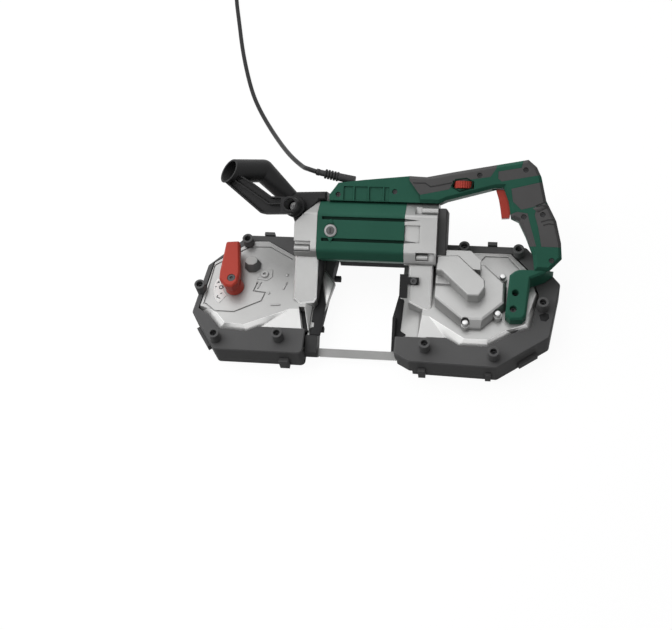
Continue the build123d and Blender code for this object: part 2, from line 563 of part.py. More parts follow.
# Motor: housing with a flat front, end bracket, gear head and the gears' end cap
MOTOR_BORE, AIR_GAP = MOTOR_HALF - 6.5, 1.0
STATOR_BORE = MOTOR_BORE - 10
TOWER_N, TOWER_R, GROOVE, GROOVE_DEPTH = 9.0, 5.5, 2.2, 3.0
MOTOR_FRONT = MOTOR_N + MOTOR_HALF
BRUSH_X, BRUSH_T = -49.0, 176.0
COMMUTATOR_R = 14.0
BEARING_OD, BEARING_LEN, JOURNAL_R = 11.0, 9.0, 5.0


with BuildPart() as motor_housing:
    with BuildSketch(cross_plane(MOTOR_X0)):
        motor_section(MOTOR_HALF, 8.0)
    extrude(amount=MOTOR_X1 - MOTOR_X0)
    motor_round(MOTOR_BORE, MOTOR_X0 - 1, MOTOR_X1 + 1, mode=Mode.SUBTRACT)
    for t in (163.0, 194.0):
        tool_box(MOTOR_X0 + 7, MOTOR_X1 + 1, t - GROOVE, t + GROOVE, MOTOR_FRONT - GROOVE_DEPTH,
                 MOTOR_FRONT + 1, mode=Mode.SUBTRACT)
    tool_round(BRUSH_X, BRUSH_T, 9.3, MOTOR_N, MOTOR_FRONT + 1, mode=Mode.SUBTRACT)
    tool_round(BRUSH_X, BRUSH_T, 9.3, MOTOR_N - MOTOR_HALF, MOTOR_N, mode=Mode.SUBTRACT)

with BuildPart() as end_bracket:
    with BuildSketch(cross_plane(BRACKET_X0)):
        motor_section(MOTOR_T - BRACKET_T0, 6.0)
    extrude(amount=MOTOR_X0 - BRACKET_X0)
    with BuildSketch(tool_plane(-90)):
        outline([(BRACKET_X0 - 1, 185), (MOTOR_X0 - 1, HEAD_TOP - 1), (MOTOR_X0 - 1, HEAD_TOP + 9),
                 (BRACKET_X0 - 1, HEAD_TOP + 9)])
    extrude(amount=140, mode=Mode.SUBTRACT)
    tool_box(BRACKET_X0 - 1, -78, 145, 160, TOWER_N, MOTOR_FRONT + 1, mode=Mode.SUBTRACT)
    tower_round(150, TOWER_N, TOWER_R, BRACKET_X0, -80)
    motor_round(30.0, MOTOR_X0 - 13, MOTOR_X0 + 1, mode=Mode.SUBTRACT)
    motor_round(BEARING_OD, MOTOR_X0 - 13 - BEARING_LEN, MOTOR_X0, mode=Mode.SUBTRACT)
    motor_round(JOURNAL_R + 1.5, MOTOR_X0 - 13 - BEARING_LEN - 3, MOTOR_X0, mode=Mode.SUBTRACT)

with BuildPart() as gear_head:
    with BuildSketch(cross_plane(MOTOR_X1)):
        motor_section(MOTOR_T - HEAD_T0, 6.0)
    extrude(amount=HEAD_X1 - MOTOR_X1)
    tool_box(MOTOR_X1 - 1, 79, 162, 187, MOTOR_FRONT - 4.0, MOTOR_FRONT + 1, mode=Mode.SUBTRACT)
    for t, n, x0, x1, room_x0, room_x1 in ((209, 2, 80, HEAD_X1, 71, HEAD_X1 + 1), (143, 7, 75, 91, 74, 100)):
        tool_box(room_x0, room_x1, t - TOWER_R, t + TOWER_R, n, MOTOR_FRONT + 1, mode=Mode.SUBTRACT)
        tower_round(t, n, TOWER_R, x0, x1)
    for t, tip in ((163.0, 76), (194.0, 78)):
        with BuildSketch(tool_plane(MOTOR_FRONT)) as wedge:
            outline([(MOTOR_X1 - 1, t - GROOVE), (tip, t), (MOTOR_X1 - 1, t + GROOVE)])
        extrude(wedge.sketch, amount=-GROOVE_DEPTH, mode=Mode.SUBTRACT)
    motor_round(32.0, MOTOR_X1 - 1, 79, mode=Mode.SUBTRACT)
    motor_round(BEARING_OD, 78, 79 + BEARING_LEN, mode=Mode.SUBTRACT)
    motor_round(JOURNAL_R + 1.5, 78, HEAD_X1 + 1, mode=Mode.SUBTRACT)
    shaft_round(IDLER_GEAR_Y, IDLER_GEAR_Z, 4.0, HEAD_X1 - 2, GEAR_X1 + 0.5)

WORM_U = (WORM_Y - MOTOR_Y) * cos(radians(TILT)) + (WORM_Z - MOTOR_Z) * sin(radians(TILT))
WORM_V = -(WORM_Y - MOTOR_Y) * sin(radians(TILT)) + (WORM_Z - MOTOR_Z) * cos(radians(TILT))


def cap_section(grow=0.0):
    with Locations((WORM_U, WORM_V)):
        Circle(CAP_R)
    outline([(WORM_U, WORM_V - CAP_R), (36, -20), (36, 27), (WORM_U, WORM_V + CAP_R)])
    if grow:
        offset(amount=grow)


with BuildPart() as gear_end_cap:
    with BuildSketch(cross_plane(HEAD_X1)):
        cap_section()
    extrude(amount=CAP_X1 - HEAD_X1)
    chamfer(gear_end_cap.edges().group_by(Axis.X)[-1], 2.2)
    motor_round(PINION_R + 1.5, HEAD_X1 - 1, GEAR_X1 + 1.5, mode=Mode.SUBTRACT)
    shaft_round(IDLER_GEAR_Y, IDLER_GEAR_Z, IDLER_GEAR_R + 1.5, HEAD_X1 - 1, GEAR_X1 + 1.5,
                mode=Mode.SUBTRACT)
    shaft_round(WORM_Y, WORM_Z, GEAR_R + 1.5, HEAD_X1 - 1, GEAR_X1 + 1.5, mode=Mode.SUBTRACT)
    shaft_round(WORM_Y, WORM_Z, 6.5, HEAD_X1, CAP_X1 + 1, mode=Mode.SUBTRACT)

# Inside the motor: stator ring, brushes, bearings and the armature with its pinion
with BuildPart() as stator:
    with BuildSketch(cross_plane(-34)):
        Circle(MOTOR_BORE)
        Circle(STATOR_BORE, mode=Mode.SUBTRACT)
    extrude(amount=50)

with BuildPart() as brush_caps:
    tool_round(BRUSH_X, BRUSH_T, 9.0, MOTOR_FRONT - 4, MOTOR_FRONT + 1.5)
    tool_box(BRUSH_X - 1, BRUSH_X + 1, BRUSH_T - 7, BRUSH_T + 7, MOTOR_FRONT, MOTOR_FRONT + 3,
             mode=Mode.SUBTRACT)
    tool_round(BRUSH_X, BRUSH_T, 6.0, MOTOR_N + COMMUTATOR_R + 6, MOTOR_FRONT - 4)
    tool_round(BRUSH_X, BRUSH_T, 6.0, MOTOR_N - MOTOR_HALF + 7, MOTOR_N - COMMUTATOR_R - 6)
    tool_round(BRUSH_X, BRUSH_T, 9.0, MOTOR_N - MOTOR_HALF + 3.5, MOTOR_N - MOTOR_HALF + 7)
    tool_box(BRUSH_X - 4, BRUSH_X + 4, BRUSH_T - 2.5, BRUSH_T + 2.5, MOTOR_N - 30, MOTOR_N + 30,
             mode=Mode.SUBTRACT)

with BuildPart() as carbon_brushes:
    for n0, n1 in ((COMMUTATOR_R + 0.4, 30), (-30, -COMMUTATOR_R - 0.4)):
        tool_box(BRUSH_X - 4, BRUSH_X + 4, BRUSH_T - 2.5, BRUSH_T + 2.5, MOTOR_N + n0, MOTOR_N + n1)

with BuildPart() as motor_bearings:
    for x in (MOTOR_X0 - 13 - BEARING_LEN, 79):
        with BuildSketch(cross_plane(x)):
            Circle(BEARING_OD)
            Circle(JOURNAL_R + RUN_FIT, mode=Mode.SUBTRACT)
        extrude(amount=BEARING_LEN)

with BuildPart() as armature:
    motor_round(JOURNAL_R, MOTOR_X0 - 13 - BEARING_LEN, GEAR_X1 + 0.5)
    motor_round(STATOR_BORE - AIR_GAP, -30, 14)
    motor_round(COMMUTATOR_R, BRUSH_X - 8, BRUSH_X + 8)
    with BuildSketch(cross_plane(60)):
        Circle(16)
        with PolarLocations(20, 9):
            Rectangle(18, 2.4)
    extrude(amount=14)
    with BuildSketch(cross_plane(GEAR_X0)):
        cog(PINION_TEETH, PINION_R)
    extrude(amount=GEAR_X1 - GEAR_X0)

# Idler gear, worm shaft, worm wheel and drive shaft with their bearings
with BuildPart() as idler_gear:
    with BuildSketch(row_plane(GEAR_X0, IDLER_GEAR_Y, IDLER_GEAR_Z)):
        cog(IDLER_TEETH, IDLER_GEAR_R)
        Circle(4.0 + RUN_FIT, mode=Mode.SUBTRACT)
    extrude(amount=GEAR_X1 - GEAR_X0)

with BuildPart() as worm_shaft:
    shaft_round(WORM_Y, WORM_Z, WORM_SHAFT_R, GEAR_X0 - 0.5, WORM_BEARINGS[1] + WORM_BEARING_LEN)
    shaft_round(WORM_Y, WORM_Z, WORM_R - 0.2, DRIVE[0] - 9, DRIVE[0] + 9)
    with BuildSketch(row_plane(GEAR_X0, WORM_Y, WORM_Z)):
        cog(GEAR_TEETH, GEAR_R)
    extrude(amount=GEAR_X1 - GEAR_X0)

SHAFT_R, SHAFT_TOP_R = 9.0, 6.0
UPPER_BEARING_Z, LOWER_BEARING_Z = 66.0, 33.0
with BuildPart() as drive_shaft:
    wheel_round(*DRIVE, SHAFT_R, WHEEL_Z0 - 0.4, UPPER_BEARING_Z - 0.5)
    wheel_round(*DRIVE, SHAFT_TOP_R, UPPER_BEARING_Z - 0.5, UPPER_BEARING_Z + 8)
    wheel_round(*DRIVE, SHAFT_R + 4, WHEEL_Z0 - 2.8, WHEEL_Z0 - 0.4)

with BuildPart() as worm_wheel:
    with BuildSketch(wheel_plane(WORM_Z - 6, *DRIVE)):
        cog(WORM_WHEEL_TEETH, WORM_WHEEL_R)
        Circle(SHAFT_R, mode=Mode.SUBTRACT)
    extrude(amount=12)

with BuildPart() as gear_bearings:
    for x in WORM_BEARINGS:
        with BuildSketch(row_plane(x, WORM_Y, WORM_Z)):
            Circle(WORM_BEARING_R)
            Circle(WORM_SHAFT_R + RUN_FIT, mode=Mode.SUBTRACT)
        extrude(amount=WORM_BEARING_LEN)
    for z, length, r, bore in ((LOWER_BEARING_Z, 8, 16, SHAFT_R), (UPPER_BEARING_Z, 8, 12, SHAFT_TOP_R)):
        with BuildSketch(wheel_plane(z, *DRIVE)):
            Circle(r)
            Circle(bore + RUN_FIT, mode=Mode.SUBTRACT)
        extrude(amount=length)

# Gearbox cover: eight-sided with sloping sides, a raised lobe, step and rib, and its bolts on ears
GEARBOX_FOOT = [(98, 27.5), (98, -5.7), (145.6, -45.4), (169.6, -45.4), (203.5, -11.5), (203.5, 22.5),
                (172.5, 53.5), (124, 53.5)]
GEARBOX_EDGE = [(101, 26), (101, -3), (143, -38), (172, -38), (200, -10), (200, 21), (171, 50), (125, 50)]
BOLT_SEAT, BOLT_EAR = PLATEAU_Z + 9.0, 6.0
GEARBOX_IN = WORM_Z + WORM_R + 1.2
GEARBOX_TOP, LOBE_TOP, STEP_TOP = GEARBOX_IN + 2.8, 86.0, 84.0
with BuildPart() as gearbox_cover:
    with BuildSketch(wheel_plane(PLATEAU_Z)):
        outline(GEARBOX_FOOT)
    extrude(amount=6)
    with BuildSketch(wheel_plane(PLATEAU_Z + 6)):
        outline(GEARBOX_FOOT)
    with BuildSketch(wheel_plane(GEARBOX_TOP)):
        outline(GEARBOX_EDGE)
    loft(ruled=True)
    chamfer(gearbox_cover.edges().group_by(Axis.Z)[-1], 2.0)
    with BuildSketch(wheel_plane(PLATEAU_Z)):
        with Locations(*COVER_BOLTS):
            Circle(BOLT_EAR)
    extrude(amount=BOLT_SEAT - PLATEAU_Z)
    wheel_box(HEAD_X1, 128, 14, 27, PLATEAU_Z, GEARBOX_TOP + 4)
    with BuildSketch(wheel_plane(PLATEAU_Z)):
        outline([(104, 34), (104, 66), (146, 66), (166, 46), (166, 30)])
    extrude(amount=STEP_TOP - PLATEAU_Z)
    with BuildSketch(wheel_plane(PLATEAU_Z)):
        outline([(104, 50), (134, 52), (173, 13), (174, 2), (166, -12), (150, -12), (112, 26),
                 (104, 26)], 3.0)
    extrude(amount=LOBE_TOP - PLATEAU_Z)
    chamfer(gearbox_cover.edges().group_by(Axis.Z)[-1], 1.4)
    tool_box(90, 180, 155.5, 260, -120, 80, mode=Mode.SUBTRACT)
    with BuildSketch(cross_plane(HEAD_X1 - 10)):
        cap_section(FIT)
    extrude(amount=CAP_X1 + FIT - HEAD_X1 + 10, mode=Mode.SUBTRACT)
    wheel_box(80, HEAD_X1 + FIT, -80, 100, PLATEAU_Z - 1, LOBE_TOP + 1, mode=Mode.SUBTRACT)
    wheel_round(*DRIVE, WORM_WHEEL_R + 1.5, PLATEAU_Z - 1, GEARBOX_IN, mode=Mode.SUBTRACT)
    shaft_round(WORM_Y, WORM_Z, WORM_R + 1.2, DRIVE[0] - 11, DRIVE[0] + 11, mode=Mode.SUBTRACT)
    shaft_round(WORM_Y, WORM_Z, WORM_SHAFT_R + 1, CAP_X1 - 2, WORM_BEARINGS[1] + 8, mode=Mode.SUBTRACT)
    for x in WORM_BEARINGS:
        shaft_round(WORM_Y, WORM_Z, WORM_BEARING_R, x, x + WORM_BEARING_LEN, mode=Mode.SUBTRACT)
    wheel_round(*DRIVE, 12.0, GEARBOX_IN - 1, UPPER_BEARING_Z + 8, mode=Mode.SUBTRACT)
    wheel_round(*DRIVE, SHAFT_TOP_R + 1, GEARBOX_IN - 1, UPPER_BEARING_Z + 10, mode=Mode.SUBTRACT)
    with BuildSketch(wheel_plane(BOLT_SEAT)):
        with Locations(*COVER_BOLTS):
            Circle(BOLT_EAR)
    extrude(amount=60, mode=Mode.SUBTRACT)
    with BuildSketch(wheel_plane(PLATEAU_Z - 1)):
        with Locations(*COVER_BOLTS):
            Circle(SCREW_R)
    extrude(amount=20, mode=Mode.SUBTRACT)

with BuildPart() as gearbox_cover_bolts:
    with BuildSketch(wheel_plane(PLATEAU_Z - 8)):
        with Locations(*COVER_BOLTS):
            Circle(SCREW_R)
    extrude(amount=BOLT_SEAT - PLATEAU_Z + 8)
    with BuildSketch(wheel_plane(BOLT_SEAT)):
        with Locations(*COVER_BOLTS):
            Circle(SCREW_HEAD_R)
    extrude(amount=5.5)
    with BuildSketch(wheel_plane(BOLT_SEAT + 5.5)):
        with Locations(*COVER_BOLTS):
            RegularPolygon(2.6, 6)
    extrude(amount=-2.5, mode=Mode.SUBTRACT)

# Rear handle: two shells split down the middle, the cowl over the motor in one piece with them
HANDLE = [(-56, HEAD_TOP + 0.2), (-56, HEAD_TOP + 8), (-43, HEAD_TOP + 26), (-5, HEAD_TOP + 31),
          (60, HEAD_TOP + 38), (84, HEAD_TOP + 37), (122, HEAD_TOP + 45), (226, 286), (238, 276),
          (245, 262), (253, 229), (268, 201), (276, 170), (278, 148), (262, 131), (241, 131),
          (238, 152), (227, 178), (216, 199), (205, 204), (201, 226), (193, 246), (181, 245),
          (114, HEAD_TOP + 5), (104, HEAD_TOP + 0.2)]
HANDLE_MID, HANDLE_HALF, SHELL_WALL = -13.0, 19.0, 3.2
HANDLE_FRONT, HANDLE_BACK = HANDLE_MID + HANDLE_HALF, HANDLE_MID - HANDLE_HALF
COWL_FRONT = 1.0
COWL_AREA = [(-90, 200), (-90, 280), (58, 280), (60, 252), (76, 231), (76, 200)]
INSERTS = [[(60, 290), (57, 251), (76, 232), (117, 241), (122, 251), (150, 256), (174, 260), (182, 272),
            (184, 300)],
           [(185, 268), (217, 274), (222, 300), (256, 300), (250, 265.5), (190, 254), (185, 258)],
           [(204, 244), (245, 254.5), (266, 250), (266, 229), (253, 226), (238, 220), (219, 215),
            (207, 226)],
           [(214, 212), (228, 210), (233, 192), (242, 164), (222, 164), (208, 192), (203, 208)],
           [(240, 219), (254, 225), (270, 227), (290, 200), (290, 164), (249, 164), (243, 192),
            (238, 208)]]
SHELL_SCREWS = [(-43, HEAD_TOP + 9), (39, HEAD_TOP + 15), (159, 262), (223, 271), (223, 205), (249, 209),
                (264, 145)]
TRIGGER_SLOT = [(176, 246), (192, 201), (216, 201), (206, 246)]
DIAL_X, DIAL_T, DIAL_N, DIAL_R, DIAL_WIDE = 136.5, 248.0, -3.0, 14.0, 10.0
RELIEF_A, RELIEF_B = (-22.0, HEAD_TOP + 31.5, -16.0), (-79.0, HEAD_TOP + 43, -16.0)
RELIEF_R, CORD_R = 6.5, 3.5
SHELL_RECESS, TRIGGER_HALF = 6.0, 9.0
COWL_BAYS = [(-35.0, -21.2), (-18.8, -0.2), (2.2, 21.8), (24.2, 31.0)]
RELIEF_DIR = (tool_point(*RELIEF_B) - tool_point(*RELIEF_A)).normalized()
RELIEF_LEN = (tool_point(*RELIEF_B) - tool_point(*RELIEF_A)).length
RELIEF_PLANE = Plane(origin=tool_point(*RELIEF_A), z_dir=RELIEF_DIR)

INSERT_DEEP = 4.6
shells = {}
for side, name, insert in ((1, "handle_shell_near", "grip_insert_near"),
                           (-1, "handle_shell_far", "grip_insert_far")):
    face_n = HANDLE_MID + side * HANDLE_HALF
    with BuildSketch(tool_plane(face_n - side * INSERT_DEEP)) as soft_area:
        for pad in INSERTS:
            outline(pad)
    with BuildPart() as shell:
        with BuildSketch(tool_plane(HANDLE_MID)):
            outline(HANDLE)
        extrude(amount=side * HANDLE_HALF)
        chamfer(shell.edges().group_by(Axis((0, 0, 0), OUT))[-1 if side > 0 else 0], 4.5)
        if side > 0:
            with BuildSketch(tool_plane(COWL_FRONT)):
                outline(COWL_AREA)
            extrude(amount=40, mode=Mode.SUBTRACT)
        with BuildSketch(tool_plane(HANDLE_MID)):
            outline(HANDLE)
            offset(amount=-SHELL_WALL, kind=Kind.INTERSECTION)
        extrude(amount=side * (HANDLE_HALF - 6), mode=Mode.SUBTRACT)
        if side > 0:
            with BuildSketch(tool_plane(COWL_FRONT - SHELL_WALL)):
                outline(HANDLE)
                outline(COWL_AREA, mode=Mode.INTERSECT)
            extrude(amount=SHELL_WALL)
            for x0, x1 in COWL_BAYS:
                tool_box(x0, x1, HEAD_TOP + 1, HEAD_TOP + 21, COWL_FRONT - 1.8, COWL_FRONT + 1,
                         mode=Mode.SUBTRACT)
        for x, t in SHELL_SCREWS:
            near = (COWL_FRONT if x < 60 else HANDLE_FRONT) - SHELL_RECESS
            post = (HANDLE_MID, near + SHELL_RECESS - 1) if side > 0 else (HANDLE_BACK + 3, HANDLE_MID)
            tool_round(x, t, 5.5, *post)
            tool_round(x, t, 2.0, HANDLE_MID - 12, near + 1, mode=Mode.SUBTRACT)
            if side > 0:
                tool_round(x, t, 3.7, near, HANDLE_FRONT + 1, mode=Mode.SUBTRACT)
        with BuildSketch(tool_plane(HANDLE_MID - TRIGGER_HALF - FIT)):
            outline(TRIGGER_SLOT)
        extrude(amount=2 * (TRIGGER_HALF + FIT), mode=Mode.SUBTRACT)
        with BuildSketch(RELIEF_PLANE.offset(-8)):
            Circle(RELIEF_R + FIT)
        extrude(amount=80, mode=Mode.SUBTRACT)
        tool_box(DIAL_X - DIAL_R - 1, DIAL_X + DIAL_R + 1, DIAL_T - DIAL_WIDE / 2 - 0.5,
                 DIAL_T + DIAL_WIDE / 2 + 0.5, DIAL_N, HANDLE_FRONT + 1, mode=Mode.SUBTRACT)
    with BuildPart() as soft:
        add(shell.part)
        extrude(soft_area.sketch, amount=side * 20, mode=Mode.INTERSECT)
    with BuildPart() as hard:
        add(shell.part)
        extrude(soft_area.sketch, amount=side * 20, mode=Mode.SUBTRACT)
    shells[name] = hard
    shells[insert] = soft

# Trigger with its slide, the switch behind it, and the speed thumb wheel in its module
with BuildPart() as trigger:
    with BuildSketch(tool_plane(HANDLE_MID - TRIGGER_HALF)):
        outline([(182.5, 243.5), (187, 230), (189.5, 218), (192, 203), (203, 204), (204, 214), (200, 230),
                 (195, 243.5)])
    extrude(amount=2 * TRIGGER_HALF)
    tool_box(198, 210, 219, 231, HANDLE_MID - 6, HANDLE_MID + 6)

with BuildPart() as switch_body:
    tool_box(217, 240, 214, 240, HANDLE_BACK + 6, HANDLE_MID + 11)

with BuildPart() as speed_module:
    tool_box(DIAL_X - 18, DIAL_X + 14, DIAL_T - 8, DIAL_T + 8, HANDLE_BACK + 6, DIAL_N + 2)
    tool_box(DIAL_X - DIAL_R - 0.5, DIAL_X + DIAL_R + 0.5, DIAL_T - DIAL_WIDE / 2 - 0.3,
             DIAL_T + DIAL_WIDE / 2 + 0.3, DIAL_N - DIAL_R - 0.5, DIAL_N + 3, mode=Mode.SUBTRACT)
    with BuildSketch(Plane(origin=tool_point(DIAL_X, DIAL_T - 7, DIAL_N), x_dir=(1, 0, 0), z_dir=UP)) as pin:
        Circle(2.0 + RUN_FIT)
    extrude(pin.sketch, amount=14, mode=Mode.SUBTRACT)

with BuildPart() as speed_dial:
    with BuildSketch(Plane(origin=tool_point(DIAL_X, DIAL_T - DIAL_WIDE / 2, DIAL_N), x_dir=(1, 0, 0),
                           z_dir=UP)):
        Circle(DIAL_R)
        with PolarLocations(DIAL_R + 0.6, 24):
            Circle(1.3, mode=Mode.SUBTRACT)
    extrude(amount=DIAL_WIDE)
    with BuildSketch(Plane(origin=tool_point(DIAL_X, DIAL_T - 6.8, DIAL_N), x_dir=(1, 0, 0), z_dir=UP)):
        Circle(2.0)
    extrude(amount=13.6)

# Foot that ties the grip down to the gearbox plate
FOOT_MID, FOOT_TILT = 68.0, 13.0   # level of the sloping top where y is 0, and its slope
FOOT_SEAT = PLATEAU_Z + 9.0        # under the heads of the foot screws
FOOT_SCREWS = [(216.0, 4.0), (214.0, -19.0)]
HANDLE_LOW = 131.0
with BuildPart() as handle_foot:
    with BuildSketch(wheel_plane(PLATEAU_Z)):
        outline([(214, 36), (207, 30), (203, -27), (210, -34), (227, -33), (232, -26), (236, 26), (256, 35),
                 (268, 46), (240, 46)])
    extrude(amount=FOOT_MID - PLATEAU_Z + 20)
    slope = Plane(origin=(DATUM_X, DATUM_Y, FOOT_MID), x_dir=(1, 0, 0),
                  z_dir=(0, -sin(radians(FOOT_TILT)), cos(radians(FOOT_TILT))))
    with BuildSketch(slope):
        with Locations((235, 0)):
            Rectangle(120, 160)
    extrude(amount=60, mode=Mode.SUBTRACT)
    chamfer(handle_foot.faces().sort_by(Axis((0, 0, 0), slope.z_dir))[-1].edges(), 2.5)
    tool_box(180, 300, HANDLE_LOW, HANDLE_LOW + 120, -120, 120, mode=Mode.SUBTRACT)
    for x, y in FOOT_SCREWS:
        wheel_round(x, y, 4.8, FOOT_SEAT, FOOT_MID + 10, mode=Mode.SUBTRACT)
        wheel_round(x, y, SCREW_R, PLATEAU_Z - 1, FOOT_SEAT + 1, mode=Mode.SUBTRACT)

# Screws of the rear handle and its foot
with BuildPart() as handle_screws:
    for x, t in SHELL_SCREWS:
        near = (COWL_FRONT if x < 60 else HANDLE_FRONT) - SHELL_RECESS
        tool_round(x, t, 2.0, HANDLE_MID - 12, near)
        tool_round(x, t, 3.5, near, near + 2.4)
        with BuildSketch(tool_plane(near + 2.4, x, t)) as cross:
            Rectangle(4.4, 1.0)
            Rectangle(1.0, 4.4)
        extrude(cross.sketch, amount=-1.2, mode=Mode.SUBTRACT)
    for x, y in FOOT_SCREWS:
        wheel_round(x, y, SCREW_R, PLATEAU_Z, FOOT_SEAT)
        wheel_round(x, y, 4.5, FOOT_SEAT, FOOT_SEAT + 4)
        with BuildSketch(wheel_plane(FOOT_SEAT + 4, x, y)) as socket:
            RegularPolygon(2.4, 6)
        extrude(socket.sketch, amount=-2.4, mode=Mode.SUBTRACT)

# Front handle: bracket on the end bracket's cut corner, hollow barrel, grip tube and channel arm
BARREL = (-104.5, 209.5)
BARREL_R, BARREL_BORE, BOLT_R = 11.3, 8.2, 4.0
GRIP_R, GRIP_LOW_R, GRIP_WALL = 16.7, 13.0, 1.8
GRIP_TOP, GRIP_ELBOW, GRIP_LOW = (-195.7, 254.6, 42.0), (-154.8, 260.7, 4.0), (-114.2, 222.1, -16.0)
GRIP_MOUTH = X_AXIS * -0.60 + UP * 0.34 + OUT * 0.72   # the way the open end faces
ARM_BACK, ARM_FLOOR, ARM_TOP = 28.0, 34.0, 44.0
with BuildPart() as handle_bracket:
    with BuildSketch(tool_plane(-58)):
        outline([(-110.5, 201), (-105.5, 188), (BRACKET_X0 - 1, 185), (MOTOR_X0 - 1, HEAD_TOP - 1),
                 (MOTOR_X0 - 1, HEAD_TOP + 0.2), (-60, HEAD_TOP + 0.2), (-60, 234), (-106, 232),
                 (-111, 226)])
    extrude(amount=58)
    chamfer(handle_bracket.edges().group_by(Axis((0, 0, 0), OUT))[-1], 2.5)
    tool_round(*BARREL, BOLT_R, -40, 1, mode=Mode.SUBTRACT)


def tube_plane(start, end, along=0.0):
    aim = (tool_point(*end) - tool_point(*start)).normalized()
    return Plane(origin=tool_point(*start) + aim * along, z_dir=aim)


def tube(start, end, r0, r1, mode=Mode.ADD):
    length = (tool_point(*end) - tool_point(*start)).length
    with BuildSketch(tube_plane(start, end)) as first:
        Circle(r0)
    with BuildSketch(tube_plane(start, end, length)) as last:
        Circle(r1)
    loft([first.sketch, last.sketch], mode=mode)


GRIP_END = tuple(2 * top - elbow for top, elbow in zip(GRIP_TOP, GRIP_ELBOW))
with BuildPart() as front_handle:
    tube(GRIP_END, GRIP_ELBOW, GRIP_R, GRIP_R)
    tube(GRIP_ELBOW, GRIP_LOW, GRIP_R, GRIP_LOW_R)
    with Locations(tool_point(*GRIP_ELBOW)):
        Sphere(GRIP_R)
    tool_round(*BARREL, BARREL_R, -12, 46)
    tool_round(*BARREL, BARREL_R + 4, -12, 14)
    with BuildSketch(tool_plane(ARM_BACK)):
        outline([(-102, 196.5), (-140, 195), (-147, 196), (-206, 242), (-198, 262), (-183, 251.5),
                 (-161, 239), (-132.5, 220), (-102, 219.5)])
    extrude(amount=ARM_TOP - ARM_BACK)
    for pocket in ([(-180.5, 247.5), (-162, 237.3), (-133.5, 217.8), (-118, 217.5), (-118, 211),
                    (-134.5, 210), (-184.5, 241)],
                   [(-188, 241), (-135.5, 208), (-118, 209), (-118, 198), (-139.5, 197), (-145.5, 198),
                    (-195.5, 237)]):
        with BuildSketch(tool_plane(ARM_FLOOR)) as hollow:
            outline(pocket)
        extrude(hollow.sketch, amount=20, mode=Mode.SUBTRACT)
    tube(GRIP_END, GRIP_ELBOW, GRIP_R - GRIP_WALL, GRIP_R - 2 * GRIP_WALL, mode=Mode.SUBTRACT)
    with BuildSketch(Plane(origin=tool_point(*GRIP_TOP), z_dir=GRIP_MOUTH)) as mouth:
        Circle(4 * GRIP_R)
    extrude(mouth.sketch, amount=6 * GRIP_R, mode=Mode.SUBTRACT)
    tool_round(*BARREL, BARREL_BORE, 3, 60, mode=Mode.SUBTRACT)
    tool_round(*BARREL, BOLT_R, -30, 10, mode=Mode.SUBTRACT)
    add(handle_bracket.part, mode=Mode.SUBTRACT)

with BuildPart() as handle_bolt:
    tool_round(*BARREL, BOLT_R, -38, 3)
    tool_round(*BARREL, 6.8, 3, 9)
    with BuildSketch(tool_plane(9, *BARREL)) as socket:
        RegularPolygon(3.4, 6)
    extrude(socket.sketch, amount=-4, mode=Mode.SUBTRACT)

# Blade guides with their rollers, one each side of the throat
guides = {}
for name, x in (("front_guide_block", FRONT_GUIDE_X), ("rear_guide_block", REAR_GUIDE_X)):
    with BuildPart() as guide:
        with BuildSketch(cross_plane(x - GUIDE_LEN / 2, 0, 0)) as profile:
            outline([(GUIDE_DOWN, GUIDE_BACK), (GUIDE_UP, GUIDE_BACK), (GUIDE_UP, GUIDE_FRONT),
                     (0, GUIDE_FRONT), (GUIDE_DOWN, GUIDE_FRONT - 5)])
        extrude(profile.sketch, amount=GUIDE_LEN)
        tool_box(x - 20, x + 20, -30, BLADE_WIDTH / 2 + 0.7, -BLADE_THICK / 2 - 0.7, BLADE_THICK / 2 + 0.7,
                 mode=Mode.SUBTRACT)
        for side in (-1, 1):
            base = Plane(origin=tool_point(x, -ROLLER_LEN / 2 - 0.3, side * ROLLER_N), x_dir=(1, 0, 0),
                         z_dir=UP)
            with BuildSketch(base) as room:
                Circle(ROLLER_R + 0.3)
            extrude(room.sketch, amount=ROLLER_LEN + 0.6, mode=Mode.SUBTRACT)
            with BuildSketch(base) as pin:
                Circle(1.5)
            extrude(pin.sketch, amount=ROLLER_LEN + 0.6)
    guides[name] = guide
    for side, mark in ((1, "outer"), (-1, "inner")):
        with BuildPart() as roller:
            with BuildSketch(Plane(origin=tool_point(x, -ROLLER_LEN / 2, side * ROLLER_N), x_dir=(1, 0, 0),
                                   z_dir=UP)):
                Circle(ROLLER_R)
                Circle(1.5 + RUN_FIT, mode=Mode.SUBTRACT)
            extrude(amount=ROLLER_LEN)
        guides[name.replace("guide_block", mark + "_roller")] = roller

